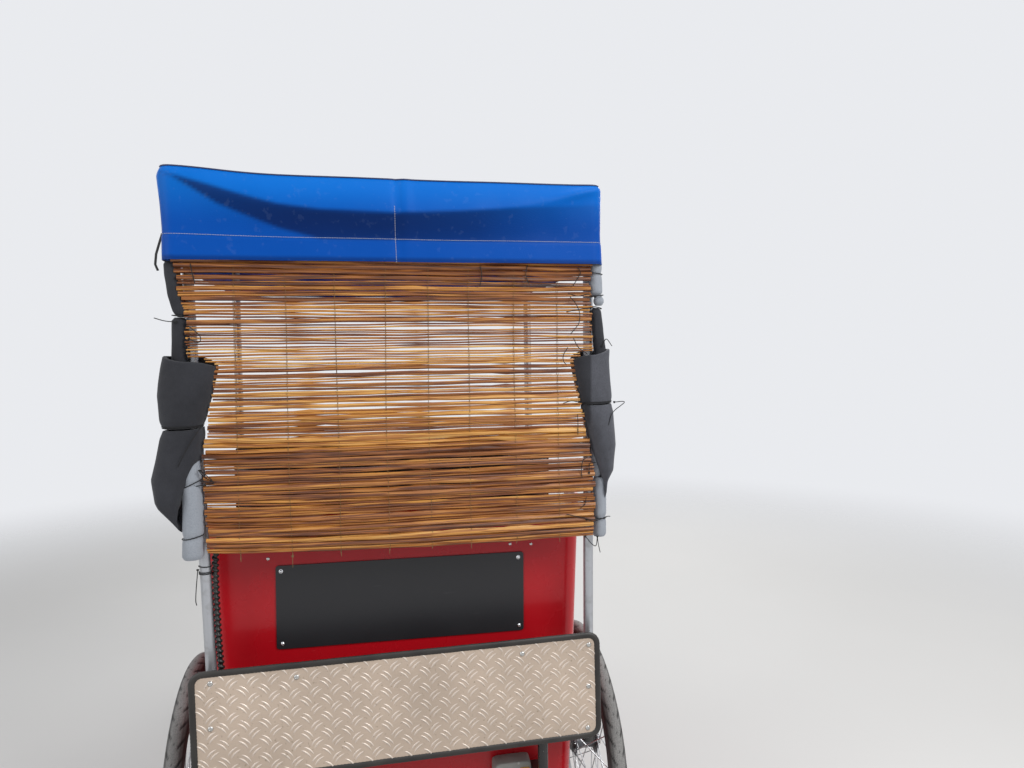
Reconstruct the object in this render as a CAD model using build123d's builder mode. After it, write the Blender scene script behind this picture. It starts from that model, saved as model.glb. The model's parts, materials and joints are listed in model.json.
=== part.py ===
from build123d import *
from math import atan2, cos, pi, radians, sin, tan
import os

# Cycle rickshaw: a three-wheeled pedal vehicle with a moulded passenger tub over the rear
# axle, a box canopy on four posts, a reed blind behind the bench and a rider in front.
# Frame: +X forward, +Y to the rider's left, +Z up, millimetres. The origin is on the ground
# under the middle of the vehicle's length and width.

os.makedirs("parts", exist_ok=True)

# Driving dimensions
WHEEL_R = 335.0
TYRE_SHOULDER = 20.8
BEAD_HALF = 16.0
TRACK = 1058.0
WHEELBASE = 1850.0
TAIL_REACH = 354.0
NOSE_REACH = WHEELBASE + WHEEL_R
AXLE_X = (TAIL_REACH - NOSE_REACH) / 2
AXLE_Z = WHEEL_R
FRONT_AXLE_X = AXLE_X + WHEELBASE


def fore(distance):
    """Gives the X of a point that lies this far ahead of the rear axle."""
    return AXLE_X + distance


def mirrored(point):
    """Gives the same point on the other side of the vehicle."""
    return (point[0], -point[1], point[2])


# Wheels
RIM_R = 273.0
RIM_DEPTH = 13.0
RIM_W = 32.0
SPOKES = 36
SPOKE_T = 2.4
SPOKE_SWEEP = 56.0
REAR_HUB_HALF = 42.0
REAR_HUB_R = 22.0
REAR_FLANGE_R = 36.0
FRONT_HUB_HALF = 34.0
FRONT_HUB_R = 15.0
FRONT_FLANGE_R = 27.0
FLANGE_T = 4.0
SHAFT_R = 12.5
FRONT_AXLE_R = 5.0
RUNNING_GAP = 0.05

# Chassis under the tub
RAIL = 30.0
RAIL_Y = 330.0
RAIL_TOP = 425.0
RAIL_Z = RAIL_TOP - RAIL / 2
RAIL_BACK = -335.0
RAIL_FRONT = 850.0
CROSS_H = 18.0
STRINGER_Y = 110.0
BLOCK_W = 30.0
POST_R = 12.0
SOCKET_R = 16.0

# Drive line
CHAIN_Y = -45.0
CHAIN_PITCH = 12.7
CHAINRING_TEETH = 46
SPROCKET_TEETH = 22
BB_X = fore(1180.0)
BB_Z = 290.0
CRANK_L = 165.0
CRANK_Y = 78.0
PEDAL_Y = 128.0

# Passenger tub
TUB_BACK = -229.0
TUB_FRONT = 850.0
TUB_LOW = 330.0
TUB_TOP = 1100.0
TUB_HALF_LOW = 428.0
TUB_HALF_TOP = 462.0
TUB_WALL = 8.0
TUB_CORNER = 42.0
SKIRT_FRONT = 370.0
BENCH_FRONT = 372.0
BENCH_TOP = 650.0
SEAT_TOP = 790.0

# Canopy, posts and blind
CANOPY_BACK = -345.0
CANOPY_FRONT = 640.0
CANOPY_HALF = 486.0
CANOPY_TOP = 1862.0
CANOPY_HEM = 1671.0
CANOPY_WALL = 5.0
RAIL_TUBE_R = 9.0
CROSS_BAR_R = 7.0
CANOPY_RAIL_Y = 465.0
CANOPY_RAIL_Z = CANOPY_TOP - CANOPY_WALL - RAIL_TUBE_R
POST_TOP = 1840.0
REAR_POST_X = fore(-290.0)
REAR_POST_FOOT = 510.0
# columns: name, side, Y at the foot, Y at the top; the two posts don't stand alike
REAR_POSTS = (("left", 1, 424.6, 461.5), ("right", -1, -454.1, -466.0))
FRONT_POST_X = fore(400.0)
FRONT_POST_LOW = (FRONT_POST_X, CANOPY_RAIL_Y, 425.0)
FRONT_POST_HIGH = (FRONT_POST_X, CANOPY_RAIL_Y, POST_TOP)
BLIND_X = fore(-330.0)
REED_PITCH = 12.05
REED_HALF = 5.6
REED_WAIST = 2.0

# Steering
HEAD_ANGLE = 70.0
FORK_LENGTH = 385.0
FORK_RAKE = 45.0
STEERER_R = 12.7


def rod(start, end, radius):
    """Adds a round bar between two points to the part being built."""
    run = Vector(*end) - Vector(*start)
    with BuildSketch(Plane(origin=start, z_dir=run)) as section:
        Circle(radius)
    extrude(section.sketch, amount=run.length)


def pipe(start, end, radius, bore):
    """Adds a hollow round tube between two points to the part being built."""
    run = Vector(*end) - Vector(*start)
    with BuildSketch(Plane(origin=start, z_dir=run)) as section:
        Circle(radius)
        Circle(bore, mode=Mode.SUBTRACT)
    extrude(section.sketch, amount=run.length)


def drill(start, end, radius):
    """Cuts a round hole between two points in the part being built."""
    run = Vector(*end) - Vector(*start)
    with BuildSketch(Plane(origin=start, z_dir=run)) as section:
        Circle(radius)
    extrude(section.sketch, amount=run.length, mode=Mode.SUBTRACT)


def bent_rod(points, bend, radius):
    """Adds a round bar along straight runs joined by arcs to the part being built.

    The bend is one radius for every corner, or a list with one for each.
    """
    with BuildLine() as run:
        FilletPolyline(*points, radius=bend)
    with BuildSketch(Plane(origin=run.line @ 0, z_dir=run.line % 0)) as section:
        Circle(radius)
    sweep(section.sketch, path=run.line)


def block(centre, size, mode=Mode.ADD):
    """Adds a box by its centre and its X, Y and Z sizes to the part being built."""
    with Locations(centre):
        Box(*size, mode=mode)


def save(name, builder):
    """Labels a finished piece and writes its file."""
    builder.part.label = name
    export_step(builder.part, f"parts/{name}.step")


def widest_bends(points):
    """Lists the largest radius that the runs beside each corner of a cable leave room for."""
    radii = []
    for before, corner, after in zip(points, points[1:], points[2:]):
        run_in = Vector(*corner) - Vector(*before)
        run_out = Vector(*after) - Vector(*corner)
        half_turn = radians(run_in.get_angle(run_out)) / 2
        radii.append(0.45 * min(run_in.length, run_out.length) / tan(half_turn))
    return radii


def on_rear_post(height, side):
    """Gives the point of a rear post's centre line at this height."""
    _, _, y_foot, y_top = REAR_POSTS[0 if side > 0 else 1]
    share = (height - REAR_POST_FOOT) / (POST_TOP - REAR_POST_FOOT)
    return (REAR_POST_X, y_foot + share * (y_top - y_foot), height)


def steering_point(along, ahead=0.0):
    """Gives a point by its place along the steering axis above the fork crown."""
    back = radians(HEAD_ANGLE)
    x = CROWN_X - along * cos(back) + ahead * sin(back)
    z = CROWN_Z + along * sin(back) + ahead * cos(back)
    return (x, 0.0, z)


CROWN_X = (
    FRONT_AXLE_X
    - FORK_LENGTH * cos(radians(HEAD_ANGLE))
    - FORK_RAKE * sin(radians(HEAD_ANGLE))
)
CROWN_Z = (
    AXLE_Z
    + FORK_LENGTH * sin(radians(HEAD_ANGLE))
    - FORK_RAKE * cos(radians(HEAD_ANGLE))
)
HEAD_LOW = 18.0
HEAD_HIGH = 158.0

# Main frame: head tube, top tube, down tube, seat tube, bracket shell and the two beams
# that run back under the footwell
SEAT_TUBE_TOP = (fore(1020.0), 0.0, 770.0)
seat_dir = (Vector(*SEAT_TUBE_TOP) - Vector(BB_X, 0.0, BB_Z)).normalized()
SEAT_POST_R = 13.5
head_bottom = steering_point(HEAD_LOW)
head_top = steering_point(HEAD_HIGH)
top_joint = steering_point(HEAD_HIGH - 32.0)
down_joint = steering_point(HEAD_LOW + 34.0)
BEAM_Y = 190.0
with BuildPart() as main_frame:
    rod(head_bottom, head_top, 19.0)
    rod(top_joint, (fore(1032.0), 0.0, 733.0), 15.0)
    rod(down_joint, (BB_X, 0.0, BB_Z), 19.0)
    rod((BB_X, 0.0, BB_Z), SEAT_TUBE_TOP, 17.0)
    rod((BB_X, -36.0, BB_Z), (BB_X, 36.0, BB_Z), 21.0)
    for side in (1, -1):
        bent_rod(
            [
                (BB_X, side * 12.0, BB_Z + 12.0),
                (fore(1055.0), side * 18.0, BB_Z + 58.0),
                (fore(958.0), side * 20.0, RAIL_Z + 2.0),
                (fore(900.0), side * BEAM_Y, RAIL_Z),
                (fore(RAIL_FRONT), side * BEAM_Y, RAIL_Z),
            ],
            28.0,
            13.0,
        )
        bent_rod(
            [
                (fore(1045.0), side * 6.0, 700.0),
                (fore(960.0), side * 90.0, 640.0),
                (fore(905.0), side * 250.0, 560.0),
                (fore(896.0), side * 250.0, RAIL_TOP + 30.0),
                (fore(880.0), side * 250.0, RAIL_Z),
                (fore(RAIL_FRONT), side * 250.0, RAIL_Z),
            ],
            12.0,
            9.0,
        )
    drill(steering_point(HEAD_LOW - 5.0), steering_point(HEAD_HIGH + 5.0), STEERER_R + RUNNING_GAP)
    drill((BB_X, -40.0, BB_Z), (BB_X, 40.0, BB_Z), 8.0 + RUNNING_GAP)
    drill(
        tuple(Vector(*SEAT_TUBE_TOP) - seat_dir * 110.0),
        tuple(Vector(*SEAT_TUBE_TOP) + seat_dir * 5.0),
        SEAT_POST_R,
    )
save("main_frame", main_frame)

# Rear chassis: two box rails, cross members, outriggers with the front post sockets
CROSS_X = (-160.0, 160.0, 400.0, RAIL_FRONT - RAIL / 2)
with BuildPart() as rear_chassis:
    for side in (1, -1):
        block(
            (fore((RAIL_BACK + RAIL_FRONT) / 2), side * RAIL_Y, RAIL_Z),
            (RAIL_FRONT - RAIL_BACK, RAIL, RAIL),
        )
        block((AXLE_X, side * STRINGER_Y, RAIL_Z), (320.0, RAIL, RAIL))
    for x in CROSS_X:
        block((fore(x), 0.0, RAIL_TOP - CROSS_H / 2), (RAIL, 2 * RAIL_Y, CROSS_H))
    for side in (1, -1):
        block((FRONT_POST_X, side * 395.0, RAIL_Z), (RAIL, 130.0, RAIL))
        foot = (FRONT_POST_X, side * CANOPY_RAIL_Y, RAIL_Z - RAIL / 2)
        rod(foot, (foot[0], foot[1], RAIL_TOP + 70.0), SOCKET_R)
        drill(
            (foot[0], foot[1], RAIL_TOP),
            (foot[0], foot[1], RAIL_TOP + 71.0),
            POST_R,
        )
save("rear_chassis", rear_chassis)

# Bearing blocks: four pillow blocks that hang the axle under the chassis
BLOCK_YS = (-RAIL_Y, -STRINGER_Y, STRINGER_Y, RAIL_Y)
BLOCK_R = 30.0
BLOCK_RISE = RAIL_TOP - RAIL - AXLE_Z
BLOCK_FOOT = 10.0
with BuildPart() as bearing_blocks:
    for y in BLOCK_YS:
        block_face = Plane(
            origin=(AXLE_X, y + BLOCK_W / 2, AXLE_Z), x_dir=(1, 0, 0), z_dir=(0, -1, 0)
        )
        with BuildSketch(block_face) as web:
            Circle(BLOCK_R)
            with Locations((0, BLOCK_RISE / 2)):
                Rectangle(2 * BLOCK_R - 12.0, BLOCK_RISE)
            with Locations((0, BLOCK_RISE - BLOCK_FOOT / 2)):
                Rectangle(110.0, BLOCK_FOOT)
            Circle(SHAFT_R + RUNNING_GAP, mode=Mode.SUBTRACT)
        extrude(web.sketch, amount=BLOCK_W)
save("bearing_blocks", bearing_blocks)


def toothed_outline(teeth, root_r, tip_r):
    """Draws a sprocket's outline from flat-topped teeth."""
    step = 2 * pi / teeth
    points = []
    for i in range(teeth):
        for share, radius in ((-0.32, root_r), (-0.12, tip_r), (0.12, tip_r), (0.32, root_r)):
            angle = (i + share) * step
            points.append((radius * cos(angle), radius * sin(angle)))
    with BuildLine() as outline:
        Polyline(*points, close=True)
    with BuildSketch() as face:
        add(outline.line)
        make_face()
    return face.sketch


def pitch_radius(teeth):
    """Gives the radius of the circle that a chain's pins lie on round a sprocket."""
    return CHAIN_PITCH / (2 * sin(pi / teeth))


RING_R = pitch_radius(CHAINRING_TEETH)
SPROCKET_R = pitch_radius(SPROCKET_TEETH)
LINK_HALF = 4.2
LINK_PLATE_T = 1.4
LINK_WAIST = 1.3
CHAIN_GAP = 3.2

# Differential: a barrel between the inner blocks, with its sprocket on the right
with BuildPart() as differential:
    with BuildSketch(Plane(origin=(AXLE_X, 85.0, AXLE_Z), z_dir=(0, -1, 0))) as barrel:
        Circle(24.0)
    extrude(barrel.sketch, amount=170.0)
    with BuildSketch(Plane(origin=(AXLE_X, 60.0, AXLE_Z), z_dir=(0, -1, 0))) as drum:
        Circle(38.0)
    extrude(drum.sketch, amount=92.0)
    with BuildSketch(
        Plane(origin=(AXLE_X, CHAIN_Y + CHAIN_GAP / 2 - 0.4, AXLE_Z), x_dir=(1, 0, 0), z_dir=(0, -1, 0))
    ) as cog:
        add(toothed_outline(SPROCKET_TEETH, SPROCKET_R - LINK_HALF - 4.0, SPROCKET_R - LINK_HALF - 0.4))
    extrude(cog.sketch, amount=CHAIN_GAP - 0.8)
    for side in (1, -1):
        drill((AXLE_X, side * 20.0, AXLE_Z), (AXLE_X, side * 90.0, AXLE_Z), SHAFT_R + RUNNING_GAP)
save("differential", differential)


# Chain: one closed loop of side plates over both sprockets
def chain_path(offset, bumps):
    """Lists the points of the chain's outline, this far outside its line of pins.

    The outline follows both sprockets and the two straight runs between them, and it
    waists in between each pair of pins by the given depth.
    """
    dx = BB_X - AXLE_X
    dz = BB_Z - AXLE_Z
    span = (dx * dx + dz * dz) ** 0.5
    lean = atan2(dz, dx)
    spread = atan2((RING_R - SPROCKET_R) / span, 1.0)
    straight = (span * span - (RING_R - SPROCKET_R) ** 2) ** 0.5
    front_arc = RING_R * (pi + 2 * spread)
    rear_arc = SPROCKET_R * (pi - 2 * spread)
    total = 2 * straight + front_arc + rear_arc
    links = round(total / CHAIN_PITCH)
    pitch = total / links
    points = []
    top = lean + pi / 2 + spread
    low = lean - pi / 2 - spread
    for i in range(2 * links):
        run = i * pitch / 2
        reach = offset - (bumps if i % 2 else 0.0) * (1 if offset > 0 else -1)
        if run < straight:
            share = run / straight
            base_x = AXLE_X + dx * share
            base_z = AXLE_Z + dz * share
            radius = SPROCKET_R + (RING_R - SPROCKET_R) * share
            angle = top
        elif run < straight + front_arc:
            angle = top - (run - straight) / RING_R
            base_x, base_z, radius = BB_X, BB_Z, RING_R
        elif run < 2 * straight + front_arc:
            share = 1 - (run - straight - front_arc) / straight
            base_x = AXLE_X + dx * share
            base_z = AXLE_Z + dz * share
            radius = SPROCKET_R + (RING_R - SPROCKET_R) * share
            angle = low
        else:
            angle = low - (run - 2 * straight - front_arc) / SPROCKET_R
            base_x, base_z, radius = AXLE_X, AXLE_Z, SPROCKET_R
        radius += reach
        points.append((base_x + radius * cos(angle), base_z + radius * sin(angle)))
    return points


with BuildPart() as chain:
    with BuildSketch(Plane.XZ.offset(-CHAIN_Y - CHAIN_GAP / 2 - LINK_PLATE_T)):
        with BuildLine():
            Polyline(*chain_path(LINK_HALF, LINK_WAIST), close=True)
        make_face()
        with BuildLine():
            Polyline(*chain_path(-LINK_HALF, LINK_WAIST), close=True)
        make_face(mode=Mode.SUBTRACT)
    extrude(amount=CHAIN_GAP + 2 * LINK_PLATE_T)
save("chain", chain)

# Passenger tub: a moulded shell with rounded corners that narrows downwards, a footwell
# floor, and a side line that falls from the back over the armrests to the footwell
tub_length = TUB_FRONT - TUB_BACK
tub_mid = fore((TUB_FRONT + TUB_BACK) / 2)
# columns: height, half width
TUB_SECTIONS = ((TUB_LOW, TUB_HALF_LOW), (TUB_TOP, TUB_HALF_TOP))
# columns: distance ahead of the axle, height, along the tub's upper edge
TUB_EDGE = (
    (-300.0, 1101.0),
    (-105.0, 1101.0),
    (15.0, 965.0),
    (330.0, 965.0),
    (440.0, 560.0),
    (900.0, 520.0),
)
with BuildPart() as body_tub:
    for height, half in TUB_SECTIONS:
        with BuildSketch(Plane.XY.offset(height)):
            with Locations((tub_mid, 0)):
                RectangleRounded(tub_length, 2 * half, TUB_CORNER)
    loft()
    for height, half in TUB_SECTIONS:
        with BuildSketch(Plane.XY.offset(height)):
            with Locations((tub_mid, 0)):
                RectangleRounded(
                    tub_length - 2 * TUB_WALL, 2 * (half - TUB_WALL), TUB_CORNER - TUB_WALL
                )
    loft(mode=Mode.SUBTRACT)
    with BuildSketch(Plane.XY.offset(RAIL_TOP)):
        with Locations((tub_mid, 0)):
            RectangleRounded(
                tub_length - TUB_WALL,
                2 * (TUB_HALF_LOW + 3.6) - TUB_WALL,
                TUB_CORNER - TUB_WALL / 2,
            )
    extrude(amount=TUB_WALL)
    with BuildSketch(Plane.XZ.offset(600.0)):
        with BuildLine():
            FilletPolyline(*[(fore(x), z) for x, z in TUB_EDGE], radius=80.0)
            Polyline(
                (fore(900.0), 520.0),
                (fore(900.0), 1200.0),
                (fore(-300.0), 1200.0),
                (fore(-300.0), 1101.0),
            )
        make_face()
    extrude(amount=-1200.0, mode=Mode.SUBTRACT)
    block(
        (fore((SKIRT_FRONT + 900.0) / 2), 0.0, RAIL_TOP - 60.0),
        (900.0 - SKIRT_FRONT, 1200.0, 120.0),
        mode=Mode.SUBTRACT,
    )
    for side in (1, -1):
        block(
            (fore(TUB_BACK + 5.0), side * RAIL_Y, RAIL_TOP - 60.0),
            (40.0, RAIL + 6.0, 120.0),
            mode=Mode.SUBTRACT,
        )
    with BuildSketch(Plane.XZ.offset(600.0)):
        with Locations((AXLE_X, AXLE_Z)):
            Circle(25.0)
            with Locations((0, -25.0)):
                Rectangle(50.0, 50.0)
    extrude(amount=-1200.0, mode=Mode.SUBTRACT)
save("body_tub", body_tub)

# Bench box: the front and top boards under the seat
BENCH_BACK = TUB_BACK + TUB_WALL + 5.0
BENCH_HALF = 415.0
BOARD_T = 12.0
with BuildPart() as bench_box:
    with BuildSketch(Plane.XZ.offset(-BENCH_HALF)):
        with BuildLine():
            Polyline(
                (fore(BENCH_FRONT - 24.0), RAIL_TOP + TUB_WALL),
                (fore(BENCH_FRONT), BENCH_TOP),
                (fore(BENCH_BACK), BENCH_TOP),
                (fore(BENCH_BACK), BENCH_TOP - BOARD_T),
                (fore(BENCH_FRONT - BOARD_T), BENCH_TOP - BOARD_T),
                (fore(BENCH_FRONT - 24.0 - BOARD_T), RAIL_TOP + TUB_WALL),
                close=True,
            )
        make_face()
    extrude(amount=2 * BENCH_HALF)
save("bench_box", bench_box)

# Seat cushion and backrest
with BuildPart() as seat_cushion:
    block(
        (fore((BENCH_BACK + BENCH_FRONT + 8.0) / 2), 0.0, (BENCH_TOP + SEAT_TOP) / 2),
        (BENCH_FRONT + 8.0 - BENCH_BACK, 2 * BENCH_HALF, SEAT_TOP - BENCH_TOP),
    )
    fillet(seat_cushion.edges().filter_by(Axis.Y).group_by(Axis.Z)[-1], 28.0)
    fillet(seat_cushion.faces().sort_by(Axis.Z)[-1].edges().filter_by(Axis.X), 22.0)
save("seat_cushion", seat_cushion)

BACKREST_T = 100.0
BACKREST_LOW = SEAT_TOP + 4.0
BACKREST_TOP = 1280.0
BACKREST_HALF = 420.0
BACKREST_GAP = 8.0
with BuildPart() as backrest_cushion:
    block(
        (
            fore(BENCH_BACK + BACKREST_GAP + BACKREST_T / 2),
            0.0,
            (BACKREST_LOW + BACKREST_TOP) / 2,
        ),
        (BACKREST_T, 2 * BACKREST_HALF, BACKREST_TOP - BACKREST_LOW),
    )
    fillet(backrest_cushion.edges().filter_by(Axis.Z).group_by(Axis.X)[0], 36.0)
    fillet(backrest_cushion.edges().filter_by(Axis.X).group_by(Axis.Z)[-1], 60.0)
    fillet(backrest_cushion.faces().sort_by(Axis.X)[-1].edges(), 24.0)
save("backrest_cushion", backrest_cushion)

# Posts: two behind the tub and two at the armrests' front ends
with BuildPart() as rear_posts:
    for side in (1, -1):
        rod(on_rear_post(REAR_POST_FOOT, side), on_rear_post(POST_TOP, side), POST_R)
save("rear_posts", rear_posts)

with BuildPart() as front_posts:
    rod(FRONT_POST_LOW, FRONT_POST_HIGH, POST_R)
    rod(mirrored(FRONT_POST_LOW), mirrored(FRONT_POST_HIGH), POST_R)
save("front_posts", front_posts)

# Canopy frame: a ring of tube with cross bars and a socket over each post
FRAME_BACK = fore(CANOPY_BACK + CANOPY_WALL + RAIL_TUBE_R + 1.0)
FRAME_FRONT = fore(CANOPY_FRONT - CANOPY_WALL - RAIL_TUBE_R - 1.0)
CANOPY_SOCKET_LOW = 1775.0
CANOPY_SOCKET_R = 14.5
with BuildPart() as canopy_frame:
    with BuildLine() as ring_path:
        FilletPolyline(
            (FRAME_BACK, CANOPY_RAIL_Y, CANOPY_RAIL_Z),
            (FRAME_FRONT, CANOPY_RAIL_Y, CANOPY_RAIL_Z),
            (FRAME_FRONT, -CANOPY_RAIL_Y, CANOPY_RAIL_Z),
            (FRAME_BACK, -CANOPY_RAIL_Y, CANOPY_RAIL_Z),
            radius=24.0,
            close=True,
        )
    with BuildSketch(Plane(origin=ring_path.line @ 0, z_dir=ring_path.line % 0)):
        Circle(RAIL_TUBE_R)
    sweep(path=ring_path.line)
    for x in (fore(60.0), FRONT_POST_X):
        rod((x, -CANOPY_RAIL_Y, CANOPY_RAIL_Z), (x, CANOPY_RAIL_Y, CANOPY_RAIL_Z), CROSS_BAR_R)
    for side in (1, -1):
        for x, y in (
            (REAR_POST_X, on_rear_post(POST_TOP, side)[1]),
            (FRONT_POST_X, side * CANOPY_RAIL_Y),
        ):
            rod((x, y, CANOPY_SOCKET_LOW), (x, y, CANOPY_RAIL_Z), CANOPY_SOCKET_R)
    for side in (1, -1):
        drill(on_rear_post(REAR_POST_FOOT, side), on_rear_post(POST_TOP, side), POST_R)
    drill(FRONT_POST_LOW, FRONT_POST_HIGH, POST_R)
    drill(mirrored(FRONT_POST_LOW), mirrored(FRONT_POST_HIGH), POST_R)
save("canopy_frame", canopy_frame)

# Canopy cover: a box of coated cloth, open below, with a deep valance all round
canopy_mid = fore((CANOPY_BACK + CANOPY_FRONT) / 2)
canopy_length = CANOPY_FRONT - CANOPY_BACK
with BuildPart() as canopy_cover:
    block(
        (canopy_mid, 0.0, (CANOPY_TOP + CANOPY_HEM) / 2),
        (canopy_length, 2 * CANOPY_HALF, CANOPY_TOP - CANOPY_HEM),
    )
    fillet(canopy_cover.edges().filter_by(Axis.Z), 12.0)
    block(
        (canopy_mid, 0.0, (CANOPY_TOP + CANOPY_HEM) / 2 - CANOPY_WALL),
        (
            canopy_length - 2 * CANOPY_WALL,
            2 * (CANOPY_HALF - CANOPY_WALL),
            CANOPY_TOP - CANOPY_HEM,
        ),
        mode=Mode.SUBTRACT,
    )
save("canopy_cover", canopy_cover)

# Rear blind: reeds edge to edge on their threads, hung by a lath from the canopy's rear bar.
# Its ends give way to the foam beside the posts.
BLIND_TOP = CANOPY_RAIL_Z - RAIL_TUBE_R
BLIND_LOW = 1020.0
REED_SHOULDER = 0.26 * REED_PITCH
# columns: reeds in the band, Y of the left end, Y of the right end, from the bottom up
BLIND_BANDS = (
    (18, 424.0, -458.0),
    (6, 424.0, -438.0),
    (8, 405.0, -423.0),
    (7, 392.0, -412.0),
    (5, 446.0, -462.0),
    (5, 445.0, -456.0),
    (5, 456.0, -456.0),
    (13, 456.0, -456.0),
)
with BuildPart() as rear_blind:
    band_low = BLIND_LOW
    for reeds, left_end, right_end in BLIND_BANDS:
        edge = []
        for i in range(reeds):
            z = band_low + i * REED_PITCH
            edge += [
                (REED_WAIST, z),
                (REED_HALF, z + REED_SHOULDER),
                (REED_HALF, z + REED_PITCH - REED_SHOULDER),
            ]
        band_low += reeds * REED_PITCH
        edge.append((REED_WAIST, band_low))
        with BuildSketch(Plane.XZ.offset(-left_end)):
            with BuildLine():
                Polyline(
                    *[(BLIND_X - out, z) for out, z in edge],
                    *[(BLIND_X + out, z) for out, z in reversed(edge)],
                    close=True,
                )
            make_face()
        extrude(amount=left_end - right_end)
    block(
        (BLIND_X, 0.0, (band_low + BLIND_TOP) / 2),
        (9.0, 2 * BLIND_BANDS[-1][1], BLIND_TOP - band_low),
    )
save("rear_blind", rear_blind)

# Foam beside the rear posts: pipes of foam, and sheets wrapped round pipe and post
FOAM_PIPE_BORE = 8.0
WRAP_X = fore(-318.0)
WRAP_HALF_DEPTH = 40.0
# columns: distance ahead of the axle, radius, lower end's Z and Y, upper end's Z and Y
LEFT_PIPES = (
    (-322.0, 22.5, 1024.0, 455.0, 1280.0, 460.0),
    (-313.0, 16.0, 1420.0, 474.5, 1556.0, 470.5),
    (-317.0, 16.5, 1553.0, 464.0, 1668.0, 484.0),
)
RIGHT_PIPES = (
    (-309.5, 16.5, 1014.0, -481.5, 1280.0, -484.0),
    (-314.5, 15.0, 1400.0, -488.0, 1566.0, -476.5),
    (-316.5, 16.5, 1580.0, -475.5, 1668.0, -475.5),
)
# columns: Z, Y of the centre, half width
LEFT_WRAPS = (
    ((1308.0, 470.5, 43.5), (1400.0, 463.5, 56.0), (1472.0, 450.0, 58.0)),
    ((1095.0, 484.0, 9.0), (1150.0, 502.0, 28.0), (1202.0, 494.5, 42.0), (1302.0, 469.5, 45.5)),
)
RIGHT_WRAPS = (
    ((1342.0, -472.5, 39.5), (1464.0, -459.0, 47.0)),
    ((1108.0, -492.0, 6.0), (1180.0, -496.3, 17.5), (1240.0, -489.5, 29.5), (1336.0, -473.0, 39.5)),
)
for name, pipes in (("left", LEFT_PIPES), ("right", RIGHT_PIPES)):
    with BuildPart() as post_sleeves:
        for ahead, radius, z_low, y_low, z_high, y_high in pipes:
            pipe((fore(ahead), y_low, z_low), (fore(ahead), y_high, z_high), radius, FOAM_PIPE_BORE)
    save(f"post_sleeves_{name}", post_sleeves)

for name, side, wraps, pipes in (
    ("left", 1, LEFT_WRAPS, LEFT_PIPES),
    ("right", -1, RIGHT_WRAPS, RIGHT_PIPES),
):
    with BuildPart() as foam_wraps:
        for sections in wraps:
            for height, y, half_width in sections:
                with BuildSketch(Plane(origin=(WRAP_X, y, height))):
                    Ellipse(WRAP_HALF_DEPTH, half_width)
            loft(ruled=True)
        drill(on_rear_post(1000.0, side), on_rear_post(1600.0, side), POST_R)
        for ahead, radius, z_low, y_low, z_high, y_high in pipes[:2]:
            drill((fore(ahead), y_low, z_low), (fore(ahead), y_high, z_high), radius)
    save(f"foam_wraps_{name}", foam_wraps)

# Cable in a spiral wrap: out of a grommet at the tub's shoulder, down beside the left rear
# post and back in through a second grommet behind the tread plate
CABLE_R = 6.5
GROMMET_R = 11.0
GROMMET_D = 8.0
CABLE_ROUTE = (
    (fore(TUB_BACK), 406.0, 1066.0),
    (fore(-266.0), 406.0, 1066.0),
    (fore(-290.5), 420.0, 1040.0),
    (fore(-290.0), 410.2, 700.0),
    (fore(-265.0), 390.0, 674.0),
    (fore(TUB_BACK), 390.0, 674.0),
)
cable_bends = widest_bends(CABLE_ROUTE)
print("cable bend radii", [round(bend, 1) for bend in cable_bends])
with BuildPart() as cable_wrap:
    bent_rod(CABLE_ROUTE, cable_bends, CABLE_R)
    for end in (CABLE_ROUTE[0], CABLE_ROUTE[-1]):
        rod(end, (end[0] - GROMMET_D, end[1], end[2]), GROMMET_R)
save("cable_wrap", cable_wrap)

# Bumper frame: uprights on the chassis rails, two cross tubes and the rear post sockets,
# with a boss behind each of the tread plate's screws
BUMPER_X = fore(-315.0)
BUMPER_R = 11.0
BUMPER_HALF = 455.0
BUMPER_BARS = (558.0, 753.0)
BUMPER_UPRIGHT_R = 12.5
SOCKET_FOOT = 495.0
SOCKET_HEAD = 664.0
PLATE_FRONT = fore(-345.0)
BOSS_R = 7.0
BOSS_YS = (-440.0, -276.0, 240.0, 424.0)
SIDE_BOSS_Z = 652.0
with BuildPart() as bumper_frame:
    for side in (1, -1):
        rod(
            (BUMPER_X, side * RAIL_Y, RAIL_TOP),
            (BUMPER_X, side * RAIL_Y, BUMPER_BARS[1]),
            BUMPER_UPRIGHT_R,
        )
        rod(on_rear_post(SOCKET_FOOT, side), on_rear_post(SOCKET_HEAD, side), SOCKET_R)
    for z in BUMPER_BARS:
        rod((BUMPER_X, -BUMPER_HALF, z), (BUMPER_X, BUMPER_HALF, z), BUMPER_R)
        for y in BOSS_YS:
            rod((PLATE_FRONT, y, z), (BUMPER_X, y, z), BOSS_R)
    for y in (BOSS_YS[0], BOSS_YS[-1]):
        rod((PLATE_FRONT, y, SIDE_BOSS_Z), (REAR_POST_X, y, SIDE_BOSS_Z), BOSS_R)
    for side in (1, -1):
        drill(on_rear_post(REAR_POST_FOOT, side), on_rear_post(SOCKET_HEAD + 5.0, side), POST_R)
save("bumper_frame", bumper_frame)

# Tread plate: a sheet of patterned aluminium with rounded corners and an edge trim
SHEET_T = 3.0
PLATE_W = 937.0
PLATE_H = 260.0
PLATE_Z = 655.0
PLATE_TILT = -0.6
PLATE_CORNER = 30.0
TRIM_W = 15.0
TRIM_T = 9.0
plate_plane = Plane(
    origin=(PLATE_FRONT, 0.0, PLATE_Z),
    x_dir=(0, -cos(radians(PLATE_TILT)), -sin(radians(PLATE_TILT))),
    z_dir=(-1, 0, 0),
)
with BuildPart() as tread_plate:
    with BuildSketch(plate_plane):
        RectangleRounded(PLATE_W - TRIM_W, PLATE_H - TRIM_W, PLATE_CORNER - TRIM_W / 2)
    extrude(amount=SHEET_T)
save("tread_plate", tread_plate)

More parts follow.
